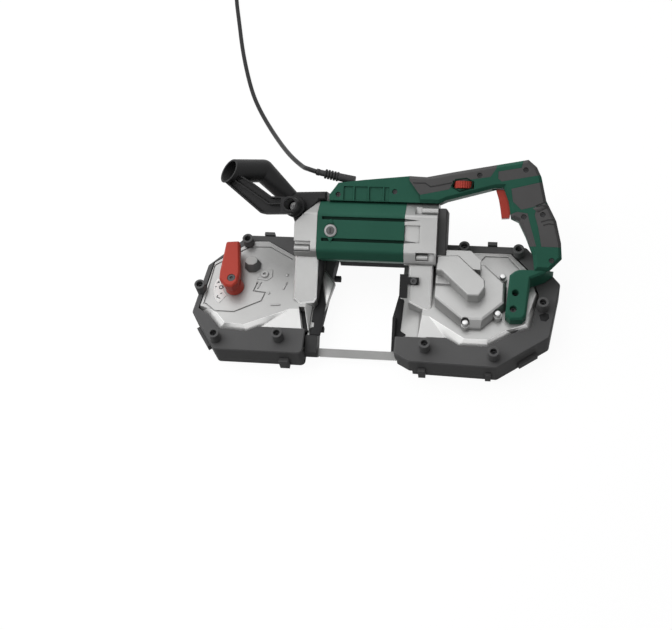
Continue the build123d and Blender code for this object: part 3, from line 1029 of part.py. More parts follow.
# Blade: plain round the wheels, twisted to the cutting plane between the guides, toothed in the throat
TWIST = 90.0 - TILT
TWIST_STEPS = 5
STRAIGHT_X0, STRAIGHT_X1 = FRONT_GUIDE_X - 14, REAR_GUIDE_X + 14
TOOTH_X0, TOOTH_X1 = FRONT_GUIDE_X + GUIDE_LEN / 2 + 1, REAR_GUIDE_X - GUIDE_LEN / 2 - 1
with BuildPart() as blade:
    with BuildSketch(wheel_plane(BLADE_Z - BLADE_WIDTH / 2, MID_X, WHEEL_Y)):
        SlotCenterToCenter(SPAN, 2 * BLADE_R + BLADE_THICK)
        SlotCenterToCenter(SPAN, 2 * BLADE_R - BLADE_THICK, mode=Mode.SUBTRACT)
    extrude(amount=BLADE_WIDTH)
    wheel_box(IDLER[0] + 12, DRIVE[0] - 12, CUT_Y - 10, CUT_Y + 10, 0, 40, mode=Mode.SUBTRACT)
    for x0, x1 in ((IDLER[0] + 12, STRAIGHT_X0), (DRIVE[0] - 12, STRAIGHT_X1)):
        sections = []
        for k in range(TWIST_STEPS + 1):
            turn = radians(TWIST * k / TWIST_STEPS)
            station = Plane(origin=(DATUM_X + x0 + (x1 - x0) * k / TWIST_STEPS, DATUM_Y + CUT_Y, BLADE_Z),
                            x_dir=(0, sin(turn), cos(turn)), z_dir=(1, 0, 0))
            with BuildSketch(station) as slice_face:
                Rectangle(BLADE_WIDTH, BLADE_THICK)
            sections.append(slice_face.sketch)
        loft(sections, ruled=True)
    edge = [(STRAIGHT_X0, -BLADE_WIDTH / 2), (STRAIGHT_X0, BLADE_WIDTH / 2), (STRAIGHT_X1, BLADE_WIDTH / 2),
            (STRAIGHT_X1, -BLADE_WIDTH / 2)]
    for k in range(int((TOOTH_X1 - TOOTH_X0) / TOOTH_PITCH)):
        x = TOOTH_X1 - k * TOOTH_PITCH
        edge += [(x, -BLADE_WIDTH / 2), (x - 0.3 * TOOTH_PITCH, TOOTH_DEPTH - BLADE_WIDTH / 2)]
    with BuildSketch(tool_plane(-BLADE_THICK / 2)):
        outline(edge)
    extrude(amount=BLADE_THICK)

# Work stop: bent plate beside the throat, screwed to a post on the rear column
with BuildPart() as work_stop:
    with BuildSketch(tool_plane(8)):
        outline([(49, 7), (49, 60), (54, 84), (64, 84), (64, 103), (80, 103), (80, 114), (64, 114), (64, 118),
                 (53, 118), (53, 88), (45, 55), (45, 7)])
    extrude(amount=4)
    tool_box(45, 49, 7, 55, -14, 9)
    tool_round(*STOP_SCREW, SCREW_R + 0.2, 0, 20, mode=Mode.SUBTRACT)

with BuildPart() as work_stop_screw:
    tool_round(*STOP_SCREW, SCREW_R, -4, 12)
    tool_round(*STOP_SCREW, 4.6, 12, 15.5)
    with BuildSketch(tool_plane(15.5, *STOP_SCREW)) as socket:
        RegularPolygon(2.4, 6)
    extrude(socket.sketch, amount=-2, mode=Mode.SUBTRACT)

# Cord: down from the relief to the floor and away, then the rest of it coiled, tied and plugged
CORD_Z, CORD_SEAT = CORD_R + 0.7, 2.0
CORD_ROUTE = [(-96, 171, 120), (-112, 192, 106), (-127, 217, 86), (-143, 250, 62), (-160, 284, 41),
              (-178, 316, 24), (-198, 348, 11), (-218, 376, 5), (-236, 404, CORD_Z), (-250, 446, CORD_Z),
              (-266, 499, CORD_Z), (-281, 560, CORD_Z), (-294, 620, CORD_Z), (-304, 690, CORD_Z)]
cord_points = [tool_point(*RELIEF_B)] + [Vector(DATUM_X + x, DATUM_Y + y, z) for x, y, z in CORD_ROUTE]
cord_points[0] -= (cord_points[1] - cord_points[0]).normalized() * CORD_SEAT
cord_runs = [b - a for a, b in zip(cord_points, cord_points[1:])]
cord_bends = []
for run, following in zip(cord_runs, cord_runs[1:]):
    half_turn = radians(run.get_angle(following)) / 2
    cord_bends.append(0.45 * min(run.length, following.length) / tan(half_turn))
print("cord runs", [round(run.length) for run in cord_runs])
print("cord bend radii", [round(bend) for bend in cord_bends])

with BuildPart() as cord:
    with BuildLine() as cord_line:
        FilletPolyline(*cord_points, radius=cord_bends)
    with BuildSketch(Plane(origin=cord_points[0], z_dir=cord_runs[0].normalized())):
        Circle(CORD_R)
    sweep(path=cord_line.wires()[0])
cord_length = cord_line.wires()[0].length
print("cord length", round(cord_length), "volume over section times length",
      round(cord.part.volume / (pi * CORD_R ** 2 * cord_length), 4))

# Strain relief: ribbed rubber sleeve out of the cowl
with BuildPart() as strain_relief:
    with BuildSketch(RELIEF_PLANE):
        Circle(RELIEF_R)
    with BuildSketch(RELIEF_PLANE.offset(RELIEF_LEN)):
        Circle(CORD_R + 1.4)
    loft()
    for k in range(4):
        with BuildSketch(RELIEF_PLANE.offset(RELIEF_LEN - 12 - 6 * k)) as groove:
            Circle(RELIEF_R + 2)
            Circle(CORD_R + 1.0, mode=Mode.SUBTRACT)
        extrude(groove.sketch, amount=1.6, mode=Mode.SUBTRACT)
    with BuildSketch(Plane(origin=cord_points[0], z_dir=cord_runs[0].normalized())):
        Circle(CORD_R + 0.1)
    extrude(amount=4 * CORD_SEAT, mode=Mode.SUBTRACT)

# Coil: in on the floor layer, up at the middle, out on the second layer, then clear to the plug
TURN_PITCH = 2 * CORD_R + 0.6
COIL_IN, LAYER_TURNS = 4 * 2 * CORD_R, 3.5
COIL_OUT = COIL_IN + TURN_PITCH / 2 + LAYER_TURNS * TURN_PITCH
RISE_END, JUMP_END, LEAVE, COIL_END = LAYER_TURNS + 0.5, LAYER_TURNS + 1.0, 6.5, 7.25
LEAVE_R = COIL_IN + (LEAVE - JUMP_END + 1) * TURN_PITCH
COIL_RADII = [(0, COIL_OUT), (RISE_END, COIL_IN), (JUMP_END, COIL_IN + TURN_PITCH), (LEAVE, LEAVE_R),
              (LEAVE + 0.25, LEAVE_R + 4), (LEAVE + 0.5, LEAVE_R + 13), (COIL_END, LEAVE_R + 26)]
COIL_LEVELS = [(0, CORD_Z), (LAYER_TURNS, CORD_Z), (RISE_END, CORD_Z + TURN_PITCH),
               (COIL_END, CORD_Z + TURN_PITCH)]
coil_start = cord_points[-1]
coil_aim = cord_runs[-1].normalized()
start_turn = atan2(-coil_aim.X, coil_aim.Y)
coil_centre = Vector(coil_start.X - COIL_OUT * cos(start_turn), coil_start.Y - COIL_OUT * sin(start_turn), 0)


def between(keys, turn):
    for (a, low), (b, high) in zip(keys, keys[1:]):
        if turn <= b:
            return low + (high - low) * (turn - a) / (b - a)
    return keys[-1][1]


def coil_point(turn):
    r = between(COIL_RADII, turn)
    angle = start_turn + 2 * pi * turn
    return coil_centre + Vector(r * cos(angle), r * sin(angle), between(COIL_LEVELS, turn))


def coil_heading(turn):
    if turn == 0:
        return coil_aim
    return (coil_point(turn + 0.04) - coil_point(turn - 0.04)).normalized()


def biarc(p0, t0, p1, t1):
    chord = p1 - p0
    ahead = chord.dot(t0 + t1)
    spread = 2 * (1 - t0.dot(t1))
    d = (sqrt(ahead ** 2 + spread * chord.dot(chord)) - ahead) / spread
    joint = (p0 + t0 * d + p1 - t1 * d) * 0.5
    TangentArc(p0, joint, tangent=t0)
    TangentArc(joint, p1, tangent=(p1 - t1 * d - p0 - t0 * d).normalized())


with BuildPart() as cord_coil:
    with BuildLine() as coil_line:
        for k in range(int(4 * COIL_END)):
            biarc(coil_point(k / 4), coil_heading(k / 4), coil_point((k + 1) / 4), coil_heading((k + 1) / 4))
    with BuildSketch(Plane(origin=coil_start, z_dir=coil_aim)):
        Circle(CORD_R)
    coil_path = coil_line.wires()[0]
    sweep(path=coil_path)
coil_marks = [coil_path @ (k / 900) for k in range(901)]
coil_gap = min((a - b).length for i, a in enumerate(coil_marks) for b in coil_marks[i + 45:]) - 2 * CORD_R
print("coil length", round(coil_path.length), "least gap to itself", round(coil_gap, 2))

# Tie round the coil's turns, and the plug on the cord's end
TIE, TIE_WIDE = 0.6, 9.0
TIE_TURN = 0.75
tie_angle = start_turn + 2 * pi * TIE_TURN
tie_out = Vector(cos(tie_angle), sin(tie_angle), 0)
TIE_R0, TIE_R1, TIE_TOP = COIL_IN - CORD_R - 0.5, COIL_OUT + 0.4, CORD_Z + TURN_PITCH + CORD_R + 0.6
with BuildPart() as coil_tie:
    with BuildSketch(Plane(origin=coil_centre + tie_out * ((TIE_R0 + TIE_R1) / 2) + Vector(0, 0, TIE_TOP / 2),
                           x_dir=tie_out, z_dir=tie_out.cross(Vector(0, 0, 1)))):
        Rectangle(TIE_R1 - TIE_R0 + 2 * TIE, TIE_TOP)
        Rectangle(TIE_R1 - TIE_R0, TIE_TOP - 2 * TIE, mode=Mode.SUBTRACT)
    extrude(amount=TIE_WIDE / 2, both=True)

PLUG_NECK, PLUG_BODY, PIN_LEN, PIN_R, PIN_APART = 16.0, 18.0, 19.0, 2.0, 19.0
plug_plane = Plane(origin=coil_path @ 1, x_dir=(coil_path % 1).cross(Vector(0, 0, 1)), z_dir=coil_path % 1)
with BuildPart() as plug:
    with BuildSketch(plug_plane):
        Circle(CORD_R + 1.5)
    with BuildSketch(plug_plane.offset(PLUG_NECK)):
        Circle(CORD_R + 3.0)
    loft()
    with BuildSketch(plug_plane.offset(PLUG_NECK)):
        SlotOverall(34, 14)
    extrude(amount=PLUG_BODY)
    with BuildSketch(plug_plane.offset(PLUG_NECK + PLUG_BODY)):
        with Locations((-PIN_APART / 2, 0), (PIN_APART / 2, 0)):
            Circle(PIN_R)
    extrude(amount=PIN_LEN)

PIECES = {"main_frame": main_frame, "front_guard": front_guard, "rear_guard": rear_guard,
          "guard_screws": guard_screws, "front_back_cover": front_back_cover,
          "rear_back_cover": rear_back_cover, "bridge_cover": bridge_cover, "cover_clips": cover_clips,
          "idler_bearings": idler_bearings, "idler_carriage": idler_carriage, "cam_shaft": cam_shaft,
          "tension_lever": tension_lever, "spring_cap": spring_cap,
          "motor_housing": motor_housing, "end_bracket": end_bracket, "gear_head": gear_head,
          "gear_end_cap": gear_end_cap, "stator": stator, "brush_caps": brush_caps,
          "carbon_brushes": carbon_brushes, "motor_bearings": motor_bearings, "armature": armature,
          "idler_gear": idler_gear, "worm_shaft": worm_shaft, "gear_bearings": gear_bearings,
          "drive_shaft": drive_shaft, "worm_wheel": worm_wheel,
          "gearbox_cover": gearbox_cover, "gearbox_cover_bolts": gearbox_cover_bolts,
          "handle_screws": handle_screws, "trigger": trigger, "switch_body": switch_body,
          "speed_module": speed_module, "speed_dial": speed_dial, "handle_foot": handle_foot,
          "handle_bracket": handle_bracket, "front_handle": front_handle, "handle_bolt": handle_bolt,
          "blade": blade, "work_stop": work_stop, "work_stop_screw": work_stop_screw,
          "strain_relief": strain_relief, "cord": cord, "cord_coil": cord_coil, "coil_tie": coil_tie,
          "plug": plug, **wheels, **shells, **guides}
for name, piece in PIECES.items():
    piece.part.label = name
    export_step(piece.part, f"parts/{name}.step")
    if len(piece.part.solids()) > 1:
        print(name, len(piece.part.solids()), "solids")
saw_box = Compound(children=[piece.part for name, piece in PIECES.items()
                             if name not in ("cord", "cord_coil", "coil_tie", "plug")]).bounding_box()
print(len(PIECES), "nodes; saw box", saw_box.min, saw_box.max)
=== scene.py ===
import json
from math import atan2, cos, pi, radians, sin

import bpy
from mathutils import Euler, Matrix, Vector


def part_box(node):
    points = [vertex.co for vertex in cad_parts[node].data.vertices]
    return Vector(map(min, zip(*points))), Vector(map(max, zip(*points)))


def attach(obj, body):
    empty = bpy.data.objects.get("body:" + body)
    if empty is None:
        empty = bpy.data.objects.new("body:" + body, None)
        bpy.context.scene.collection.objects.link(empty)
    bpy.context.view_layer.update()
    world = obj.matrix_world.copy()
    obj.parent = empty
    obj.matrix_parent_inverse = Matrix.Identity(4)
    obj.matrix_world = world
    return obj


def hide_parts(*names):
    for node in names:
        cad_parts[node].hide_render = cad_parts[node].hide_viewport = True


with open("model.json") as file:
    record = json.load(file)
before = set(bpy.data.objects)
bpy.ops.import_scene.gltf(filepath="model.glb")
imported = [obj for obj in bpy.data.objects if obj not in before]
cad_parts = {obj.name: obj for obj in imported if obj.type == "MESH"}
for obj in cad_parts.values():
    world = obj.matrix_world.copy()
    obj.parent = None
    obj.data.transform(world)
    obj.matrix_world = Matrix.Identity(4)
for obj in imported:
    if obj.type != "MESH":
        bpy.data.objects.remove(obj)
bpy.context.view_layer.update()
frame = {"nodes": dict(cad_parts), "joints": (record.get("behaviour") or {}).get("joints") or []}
bpy.context.scene.view_settings.view_transform = "Standard"

# Camera: high in front of the saw and a little to its right, where the photo was taken from,
# turned slightly about its own line of sight.
PHOTO_WIDE, PHOTO_FOCAL = 672, 1110.4
SENSOR_WIDE, FARTHEST = 36.0, 20.0
CAMERA_PLACE = (0.19927, -0.8144, 1.43957)
AZIMUTH, ELEVATION, ROLL = radians(18.64), radians(60.70), radians(13.79)
camera_data = bpy.data.cameras.new("photo_camera")
camera_data.sensor_width = SENSOR_WIDE
camera_data.lens = SENSOR_WIDE * PHOTO_FOCAL / PHOTO_WIDE
camera_data.clip_end = FARTHEST
photo_camera = bpy.data.objects.new("photo_camera", camera_data)
bpy.context.scene.collection.objects.link(photo_camera)
looking_back = Vector((sin(AZIMUTH) * cos(ELEVATION), -cos(AZIMUTH) * cos(ELEVATION), sin(ELEVATION)))
upright = (-looking_back).to_track_quat("-Z", "Y")
photo_camera.location = CAMERA_PLACE
photo_camera.rotation_mode = "QUATERNION"
photo_camera.rotation_quaternion = upright @ Euler((0, 0, -ROLL)).to_quaternion()
bpy.context.scene.camera = photo_camera

# Studio lights: a large soft light overhead and behind, a smaller one on the left, and weak cards
# in front and beside the camera. The surround looks white, but adds little light of its own.
SURROUND_FILL, SURROUND_WHITE = 0.08, 1.0


def seen_directly(nodes, links):
    """One where the camera or a reflection looks, zero for light that only falls on things."""
    rays = nodes.new("ShaderNodeLightPath")
    seen = nodes.new("ShaderNodeMath")
    seen.operation = "MAXIMUM"
    links.new(rays.outputs["Is Camera Ray"], seen.inputs[0])
    links.new(rays.outputs["Is Glossy Ray"], seen.inputs[1])
    return seen.outputs[0]


world = bpy.data.worlds.new("studio_surround")
world.use_nodes = True
world_nodes, world_links = world.node_tree.nodes, world.node_tree.links
surround = world_nodes["Background"]
surround.inputs["Color"].default_value = (1.0, 1.0, 1.0, 1.0)
fill = world_nodes.new("ShaderNodeMapRange")
fill.inputs["To Min"].default_value, fill.inputs["To Max"].default_value = SURROUND_FILL, SURROUND_WHITE
world_links.new(seen_directly(world_nodes, world_links), fill.inputs["Value"])
world_links.new(fill.outputs["Result"], surround.inputs["Strength"])
bpy.context.scene.world = world
for name, place, aim, wide, high, power in (
        ("overhead_softbox", (-0.55, 0.66, 1.36), (0.0, 0.0, 0.05), 2.4, 2.0, 17.0),
        ("front_card", (-0.27, -1.52, 0.68), (0.0, 0.0, 0.08), 2.2, 0.7, 0.5),
        ("left_softbox", (-1.05, -0.10, 1.20), (0.0, 0.0, 0.08), 1.0, 1.0, 4.0),
        ("camera_card", (-0.25, -0.74, 1.40), (0.0, 0.0, 0.10), 0.9, 0.5, 2.6)):
    lamp = bpy.data.lights.new(name, "AREA")
    lamp.shape = "RECTANGLE"
    lamp.size, lamp.size_y, lamp.energy = wide, high, power
    light = bpy.data.objects.new(name, lamp)
    light.location = place
    light.rotation_euler = (Vector(place) - Vector(aim)).to_track_quat("Z", "Y").to_euler()
    bpy.context.scene.collection.objects.link(light)

# Floor: a matt sweep, just below the faces that the saw lies on. It keeps the shadow, and a glow that
# only the camera and reflections see makes it white.
FLOOR_WIDE, FLOOR_DROP = 8.0, 0.0004
FLOOR_TONE, FLOOR_ROUGH, FLOOR_GLOW = (0.12, 0.12, 0.12, 1.0), 0.9, 0.94
bpy.ops.object.select_all(action="DESELECT")
bpy.ops.mesh.primitive_plane_add(size=FLOOR_WIDE, location=(0, 0, -FLOOR_DROP))
floor = bpy.context.object
floor.name = "pale_floor"
floor_paint = bpy.data.materials.new("pale_floor_paint")
floor_paint.use_nodes = True
floor_nodes, floor_links = floor_paint.node_tree.nodes, floor_paint.node_tree.links
floor_shader = floor_nodes["Principled BSDF"]
floor_shader.inputs["Base Color"].default_value = FLOOR_TONE
floor_shader.inputs["Roughness"].default_value = FLOOR_ROUGH
floor_shader.inputs["Specular IOR Level"].default_value = 0.0
glow = floor_nodes.new("ShaderNodeEmission")
glow.inputs["Color"].default_value = (1.0, 1.0, 1.0, 1.0)
glow_strength = floor_nodes.new("ShaderNodeMath")
glow_strength.operation = "MULTIPLY"
glow_strength.inputs[1].default_value = FLOOR_GLOW
floor_total = floor_nodes.new("ShaderNodeAddShader")
floor_links.new(seen_directly(floor_nodes, floor_links), glow_strength.inputs[0])
floor_links.new(glow_strength.outputs[0], glow.inputs["Strength"])
floor_links.new(floor_shader.outputs["BSDF"], floor_total.inputs[0])
floor_links.new(glow.outputs["Emission"], floor_total.inputs[1])
floor_links.new(floor_total.outputs[0], floor_nodes["Material Output"].inputs["Surface"])
floor.data.materials.append(floor_paint)

# Main casting: satin light alloy with slightly round edges, poured in one piece with both wheel plates.
# Their sloping sides carry a painted highlight, a near-white tone picked by how far the face leans,
# and the long ramps above the guards a weaker one; flat faces and upright walls keep the cast skin.
DRIFT_SCALE, DRIFT_DETAIL, GRAIN_DETAIL = 9.0, 5.0, 3.0
TONE_FROM, TONE_TO = 0.35, 0.68
SMOOTHER, ROUGHER, GRAIN_STRENGTH = 0.07, 0.09, 0.35
EDGE_RAYS, EDGE_FLAT, EDGE_TURNED = 4, 0.99, 0.88
HOLLOW_RAYS, HOLLOW_REACH, HOLLOW_SHUT, HOLLOW_OPEN = 6, 0.005, 0.25, 0.85
MIX_A, MIX_B, MIX_RESULT = 6, 7, 2


def finish(name, colour, shade, rough, grain, depth, metal=0.0, edge=0.0009, rubbed=0.0, bare=(0.5, 0.5, 0.5),
           shine=0.5, shade_in_hollows=0.45):
    """Moulded, cast or rolled surface: two drifting tones, fine grain, soft rubbed edges, and painted shade that
    darkens its grooves.
    """
    material = bpy.data.materials.new(name)
    material.use_nodes = True
    nodes, links = material.node_tree.nodes, material.node_tree.links
    shader = nodes["Principled BSDF"]
    shader.inputs["Metallic"].default_value = metal
    shader.inputs["Specular IOR Level"].default_value = shine
    place = nodes.new("ShaderNodeTexCoord")
    drift = nodes.new("ShaderNodeTexNoise")
    drift.inputs["Scale"].default_value = DRIFT_SCALE
    drift.inputs["Detail"].default_value = DRIFT_DETAIL
    tones = nodes.new("ShaderNodeValToRGB")
    dark_end, pale_end = tones.color_ramp.elements
    dark_end.position, pale_end.position = TONE_FROM, TONE_TO
    dark_end.color, pale_end.color = (*shade, 1.0), (*colour, 1.0)
    fine = nodes.new("ShaderNodeTexNoise")
    fine.inputs["Scale"].default_value = grain
    fine.inputs["Detail"].default_value = GRAIN_DETAIL
    gloss = nodes.new("ShaderNodeMapRange")
    gloss.inputs["To Min"].default_value = rough - SMOOTHER
    gloss.inputs["To Max"].default_value = rough + ROUGHER
    corner = nodes.new("ShaderNodeBevel")
    corner.samples = EDGE_RAYS
    corner.inputs["Radius"].default_value = edge
    relief = nodes.new("ShaderNodeBump")
    relief.inputs["Strength"].default_value = GRAIN_STRENGTH
    relief.inputs["Distance"].default_value = depth
    links.new(place.outputs["Object"], drift.inputs["Vector"])
    links.new(place.outputs["Object"], fine.inputs["Vector"])
    links.new(drift.outputs["Fac"], tones.inputs["Fac"])
    links.new(fine.outputs["Fac"], gloss.inputs["Value"])
    links.new(gloss.outputs["Result"], shader.inputs["Roughness"])
    links.new(fine.outputs["Fac"], relief.inputs["Height"])
    links.new(corner.outputs["Normal"], relief.inputs["Normal"])
    links.new(relief.outputs["Normal"], shader.inputs["Normal"])
    tone = tones.outputs["Color"]
    if rubbed:
        face = nodes.new("ShaderNodeNewGeometry")
        turned = nodes.new("ShaderNodeVectorMath")
        turned.operation = "DOT_PRODUCT"
        worn = nodes.new("ShaderNodeMapRange")
        worn.inputs["From Min"].default_value, worn.inputs["From Max"].default_value = EDGE_FLAT, EDGE_TURNED
        worn.inputs["To Max"].default_value = rubbed
        patchy = nodes.new("ShaderNodeMath")
        patchy.operation = "MULTIPLY"
        paler = nodes.new("ShaderNodeMix")
        paler.data_type = "RGBA"
        paler.inputs[MIX_B].default_value = (*bare, 1.0)
        links.new(corner.outputs["Normal"], turned.inputs[0])
        links.new(face.outputs["Normal"], turned.inputs[1])
        links.new(turned.outputs["Value"], worn.inputs["Value"])
        links.new(worn.outputs["Result"], patchy.inputs[0])
        links.new(drift.outputs["Fac"], patchy.inputs[1])
        links.new(patchy.outputs["Value"], paler.inputs["Factor"])
        links.new(tone, paler.inputs[MIX_A])
        tone = paler.outputs[MIX_RESULT]
    # Painted shade: ambient occlusion darkens the colour in grooves, hollows and where pieces meet.
    hollow = nodes.new("ShaderNodeAmbientOcclusion")
    hollow.samples = HOLLOW_RAYS
    hollow.inputs["Distance"].default_value = HOLLOW_REACH
    painted_hollow_shade = nodes.new("ShaderNodeMapRange")
    painted_hollow_shade.inputs["From Min"].default_value, painted_hollow_shade.inputs["From Max"].default_value = HOLLOW_SHUT, HOLLOW_OPEN
    painted_hollow_shade.inputs["To Min"].default_value = shade_in_hollows
    darker = nodes.new("ShaderNodeMix")
    darker.data_type, darker.blend_type = "RGBA", "MULTIPLY"
    darker.inputs["Factor"].default_value = 1.0
    links.new(hollow.outputs["AO"], painted_hollow_shade.inputs["Value"])
    links.new(tone, darker.inputs[MIX_A])
    links.new(painted_hollow_shade.outputs["Result"], darker.inputs[MIX_B])
    links.new(darker.outputs[MIX_RESULT], shader.inputs["Base Color"])
    return material


def cast_skin(name):
    """Satin skin of a light-alloy casting, rubbed pale along its edges."""
    return finish(name, (0.42, 0.42, 0.416), (0.36, 0.36, 0.356), 0.36, 420.0, 0.0003, metal=0.55, edge=0.0012,
                  rubbed=0.5, bare=(0.80, 0.80, 0.79))


def dress(material, *nodes):
    """Paints CAD nodes that show as they are."""
    for node in nodes:
        piece = frame["nodes"][node]
        piece.data.materials.clear()
        piece.data.materials.append(material)


# Painted highlight: faces leaning like the sloping sides, and more weakly the ramps, are mixed towards near-white.
PAINTED_HIGHLIGHT_TONE = (0.97, 0.97, 0.96)
HIGHLIGHT_LEAN, HIGHLIGHT_BAND = 0.64, 0.17
RAMP_LEAN, RAMP_BAND, RAMP_HIGHLIGHT_SHARE = 0.947, 0.025, 0.32
alloy_painted_highlights = cast_skin("alloy_painted_highlights")
alloy_nodes, alloy_links = alloy_painted_highlights.node_tree.nodes, alloy_painted_highlights.node_tree.links
alloy_shader = alloy_nodes["Principled BSDF"]
skin = alloy_nodes.new("ShaderNodeNewGeometry")
lean = alloy_nodes.new("ShaderNodeSeparateXYZ")
sloping, ramp, ramp_highlight, either = (alloy_nodes.new("ShaderNodeMath") for _ in range(4))
sloping.operation, ramp.operation, ramp_highlight.operation, either.operation = "COMPARE", "COMPARE", "MULTIPLY", "MAXIMUM"
sloping.inputs[1].default_value, sloping.inputs[2].default_value = HIGHLIGHT_LEAN, HIGHLIGHT_BAND
ramp.inputs[1].default_value, ramp.inputs[2].default_value = RAMP_LEAN, RAMP_BAND
ramp_highlight.inputs[1].default_value = RAMP_HIGHLIGHT_SHARE
highlight_mix = alloy_nodes.new("ShaderNodeMix")
highlight_mix.data_type = "RGBA"
highlight_mix.inputs[MIX_B].default_value = (*PAINTED_HIGHLIGHT_TONE, 1.0)
alloy_links.new(skin.outputs["True Normal"], lean.inputs["Vector"])
alloy_links.new(lean.outputs["Z"], sloping.inputs[0])
alloy_links.new(lean.outputs["Z"], ramp.inputs[0])
alloy_links.new(ramp.outputs["Value"], ramp_highlight.inputs[0])
alloy_links.new(sloping.outputs["Value"], either.inputs[0])
alloy_links.new(ramp_highlight.outputs["Value"], either.inputs[1])
alloy_links.new(either.outputs["Value"], highlight_mix.inputs["Factor"])
alloy_links.new(alloy_shader.inputs["Base Color"].links[0].from_socket, highlight_mix.inputs[MIX_A])
alloy_links.new(highlight_mix.outputs[MIX_RESULT], alloy_shader.inputs["Base Color"])
dress(alloy_painted_highlights, "main_frame")

# Castings round the motor: the end bracket, the gear head and the worm gear cover, of the same light
# alloy with its cast skin left on, and bolted to the main casting.
cast_alloy = cast_skin("cast_alloy")
dress(cast_alloy, "end_bracket", "gear_head", "gearbox_cover")

# Wheels: light-alloy castings with black rubber tyres stretched on, the front one on the carriage that
# the tension lever slides.
tyre_rubber = finish("tyre_rubber", (0.020, 0.020, 0.020), (0.014, 0.014, 0.014), 0.8, 900.0, 0.0003)
dress(cast_alloy, "idler_carriage", "idler_wheel", "drive_wheel")
dress(tyre_rubber, "idler_tyre", "drive_tyre")

# Motor core and drive: iron stator and carbon brushes, ground steel shafts, gears and bearings, and a
# bronze worm wheel, all pressed or keyed in place behind the covers.
core_iron = finish("core_iron", (0.10, 0.10, 0.10), (0.07, 0.07, 0.07), 0.6, 900.0, 0.0002, metal=0.4)
plated_steel = finish("plated_steel", (0.58, 0.58, 0.58), (0.50, 0.50, 0.50), 0.32, 900.0, 0.0001, metal=0.8,
                      edge=0.0004)
gear_bronze = finish("gear_bronze", (0.45, 0.30, 0.13), (0.38, 0.24, 0.10), 0.4, 900.0, 0.0002, metal=0.8)
dress(core_iron, "stator", "carbon_brushes")
dress(plated_steel, "armature", "idler_gear", "worm_shaft", "drive_shaft", "idler_bearings", "motor_bearings",
      "gear_bearings")
dress(gear_bronze, "worm_wheel")

# Blade and guides: a welded loop of steel band, toothed and twisted to the cutting plane between two
# blocks of dull nylon, where it runs between ground steel rollers on pins.
blade_steel = finish("blade_steel", (0.29, 0.29, 0.287), (0.25, 0.25, 0.247), 0.44, 1200.0, 0.0001, metal=0.6,
                     edge=0.0002)
guide_nylon = finish("guide_nylon", (0.075, 0.075, 0.076), (0.060, 0.060, 0.061), 0.55, 700.0, 0.0003, edge=0.0012,
                     shine=0.15)
dress(blade_steel, "blade")
dress(guide_nylon, "front_guide_block", "rear_guide_block")
dress(plated_steel, "front_outer_roller", "front_inner_roller", "rear_outer_roller", "rear_inner_roller")

# Tension scale: a thin white enamelled arc fixed on the front plate beside the lever, printed with
# plain marks for a slack, a set and a tight blade.
SMOOTH_BELOW, SOFT_STEPS = radians(34), 2


def slab(name, corners, face, thick, soft, material, taper=(1.0, 1.0)):
    """Flat piece on a face: its outline is drawn, pulled out to its thickness and its top edge rounded."""
    bpy.ops.object.select_all(action="DESELECT")
    bpy.ops.mesh.primitive_circle_add(vertices=len(corners), radius=1.0, fill_type="NGON", location=(0, 0, 0))
    piece = bpy.context.object
    piece.name = name
    for point, (x, y) in zip(piece.data.vertices, corners):
        point.co = face @ Vector((x, y, 0.0))
    bpy.ops.object.mode_set(mode="EDIT")
    bpy.ops.mesh.select_all(action="SELECT")
    bpy.ops.mesh.extrude_region_move(TRANSFORM_OT_translate={"value": face.to_3x3() @ Vector((0, 0, thick))})
    middle = sum((Vector(corner) for corner in corners), Vector((0.0, 0.0))) / len(corners)
    bpy.ops.transform.resize(value=(*taper, 1.0), center_override=face @ Vector((*middle, thick)))
    bpy.ops.mesh.bevel(offset=soft, segments=SOFT_STEPS, affect="EDGES")
    bpy.ops.mesh.select_all(action="SELECT")
    bpy.ops.mesh.normals_make_consistent(inside=False)
    bpy.ops.object.mode_set(mode="OBJECT")
    bpy.ops.object.shade_smooth_by_angle(angle=SMOOTH_BELOW)
    piece.data.materials.append(material)
    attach(piece, "frame")
    return piece


def disc(x, y, radius, sides=16):
    """Corners of a round outline."""
    return [(x + radius * cos(2 * pi * k / sides), y + radius * sin(2 * pi * k / sides)) for k in range(sides)]


def strip(x0, y0, x1, y1, width):
    """Corners of a bar from one point to another."""
    across = Vector((y0 - y1, x1 - x0)).normalized() * width / 2
    return [(x0 - across.x, y0 - across.y), (x1 - across.x, y1 - across.y), (x1 + across.x, y1 + across.y),
            (x0 + across.x, y0 + across.y)]


PLATEAU_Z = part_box("spring_cap")[0].z
lever_pin = Vector(next(joint["pos_m"] for joint in frame["joints"] if joint["name"] == "lever_turn"))
SCALE_IN, SCALE_OUT, SCALE_GROW, SCALE_THICK, SCALE_SOFT = 0.0175, 0.0310, 0.0038, 0.0006, 0.0002
SCALE_FROM, SCALE_TO, SCALE_STEPS = radians(155), radians(235), 12
PRINT, PRINT_SOFT, PRINT_LINE = 0.00015, 0.00003, 0.0013
SET_X, SET_Y, SET_OUT, SET_IN = -0.0206, -0.0016, 0.0034, 0.0017
scale_white = finish("scale_white", (0.97, 0.97, 0.96), (0.94, 0.94, 0.93), 0.35, 900.0, 0.0001, edge=0.0003, shade_in_hollows=0.9)
print_black_and_slot_shade = finish("print_black_and_slot_shade", (0.030, 0.030, 0.030), (0.022, 0.022, 0.022), 0.45, 900.0, 0.0001, edge=0.0002)
scale_turns = [(SCALE_FROM + (SCALE_TO - SCALE_FROM) * k / SCALE_STEPS, SCALE_OUT + SCALE_GROW * k / SCALE_STEPS)
               for k in range(SCALE_STEPS + 1)]
scale_edge = [(r * cos(a), r * sin(a)) for a, r in scale_turns]
scale_edge += [(SCALE_IN * cos(a), SCALE_IN * sin(a)) for a, r in reversed(scale_turns)]
scale_face = Matrix.Translation((lever_pin.x, lever_pin.y, PLATEAU_Z))
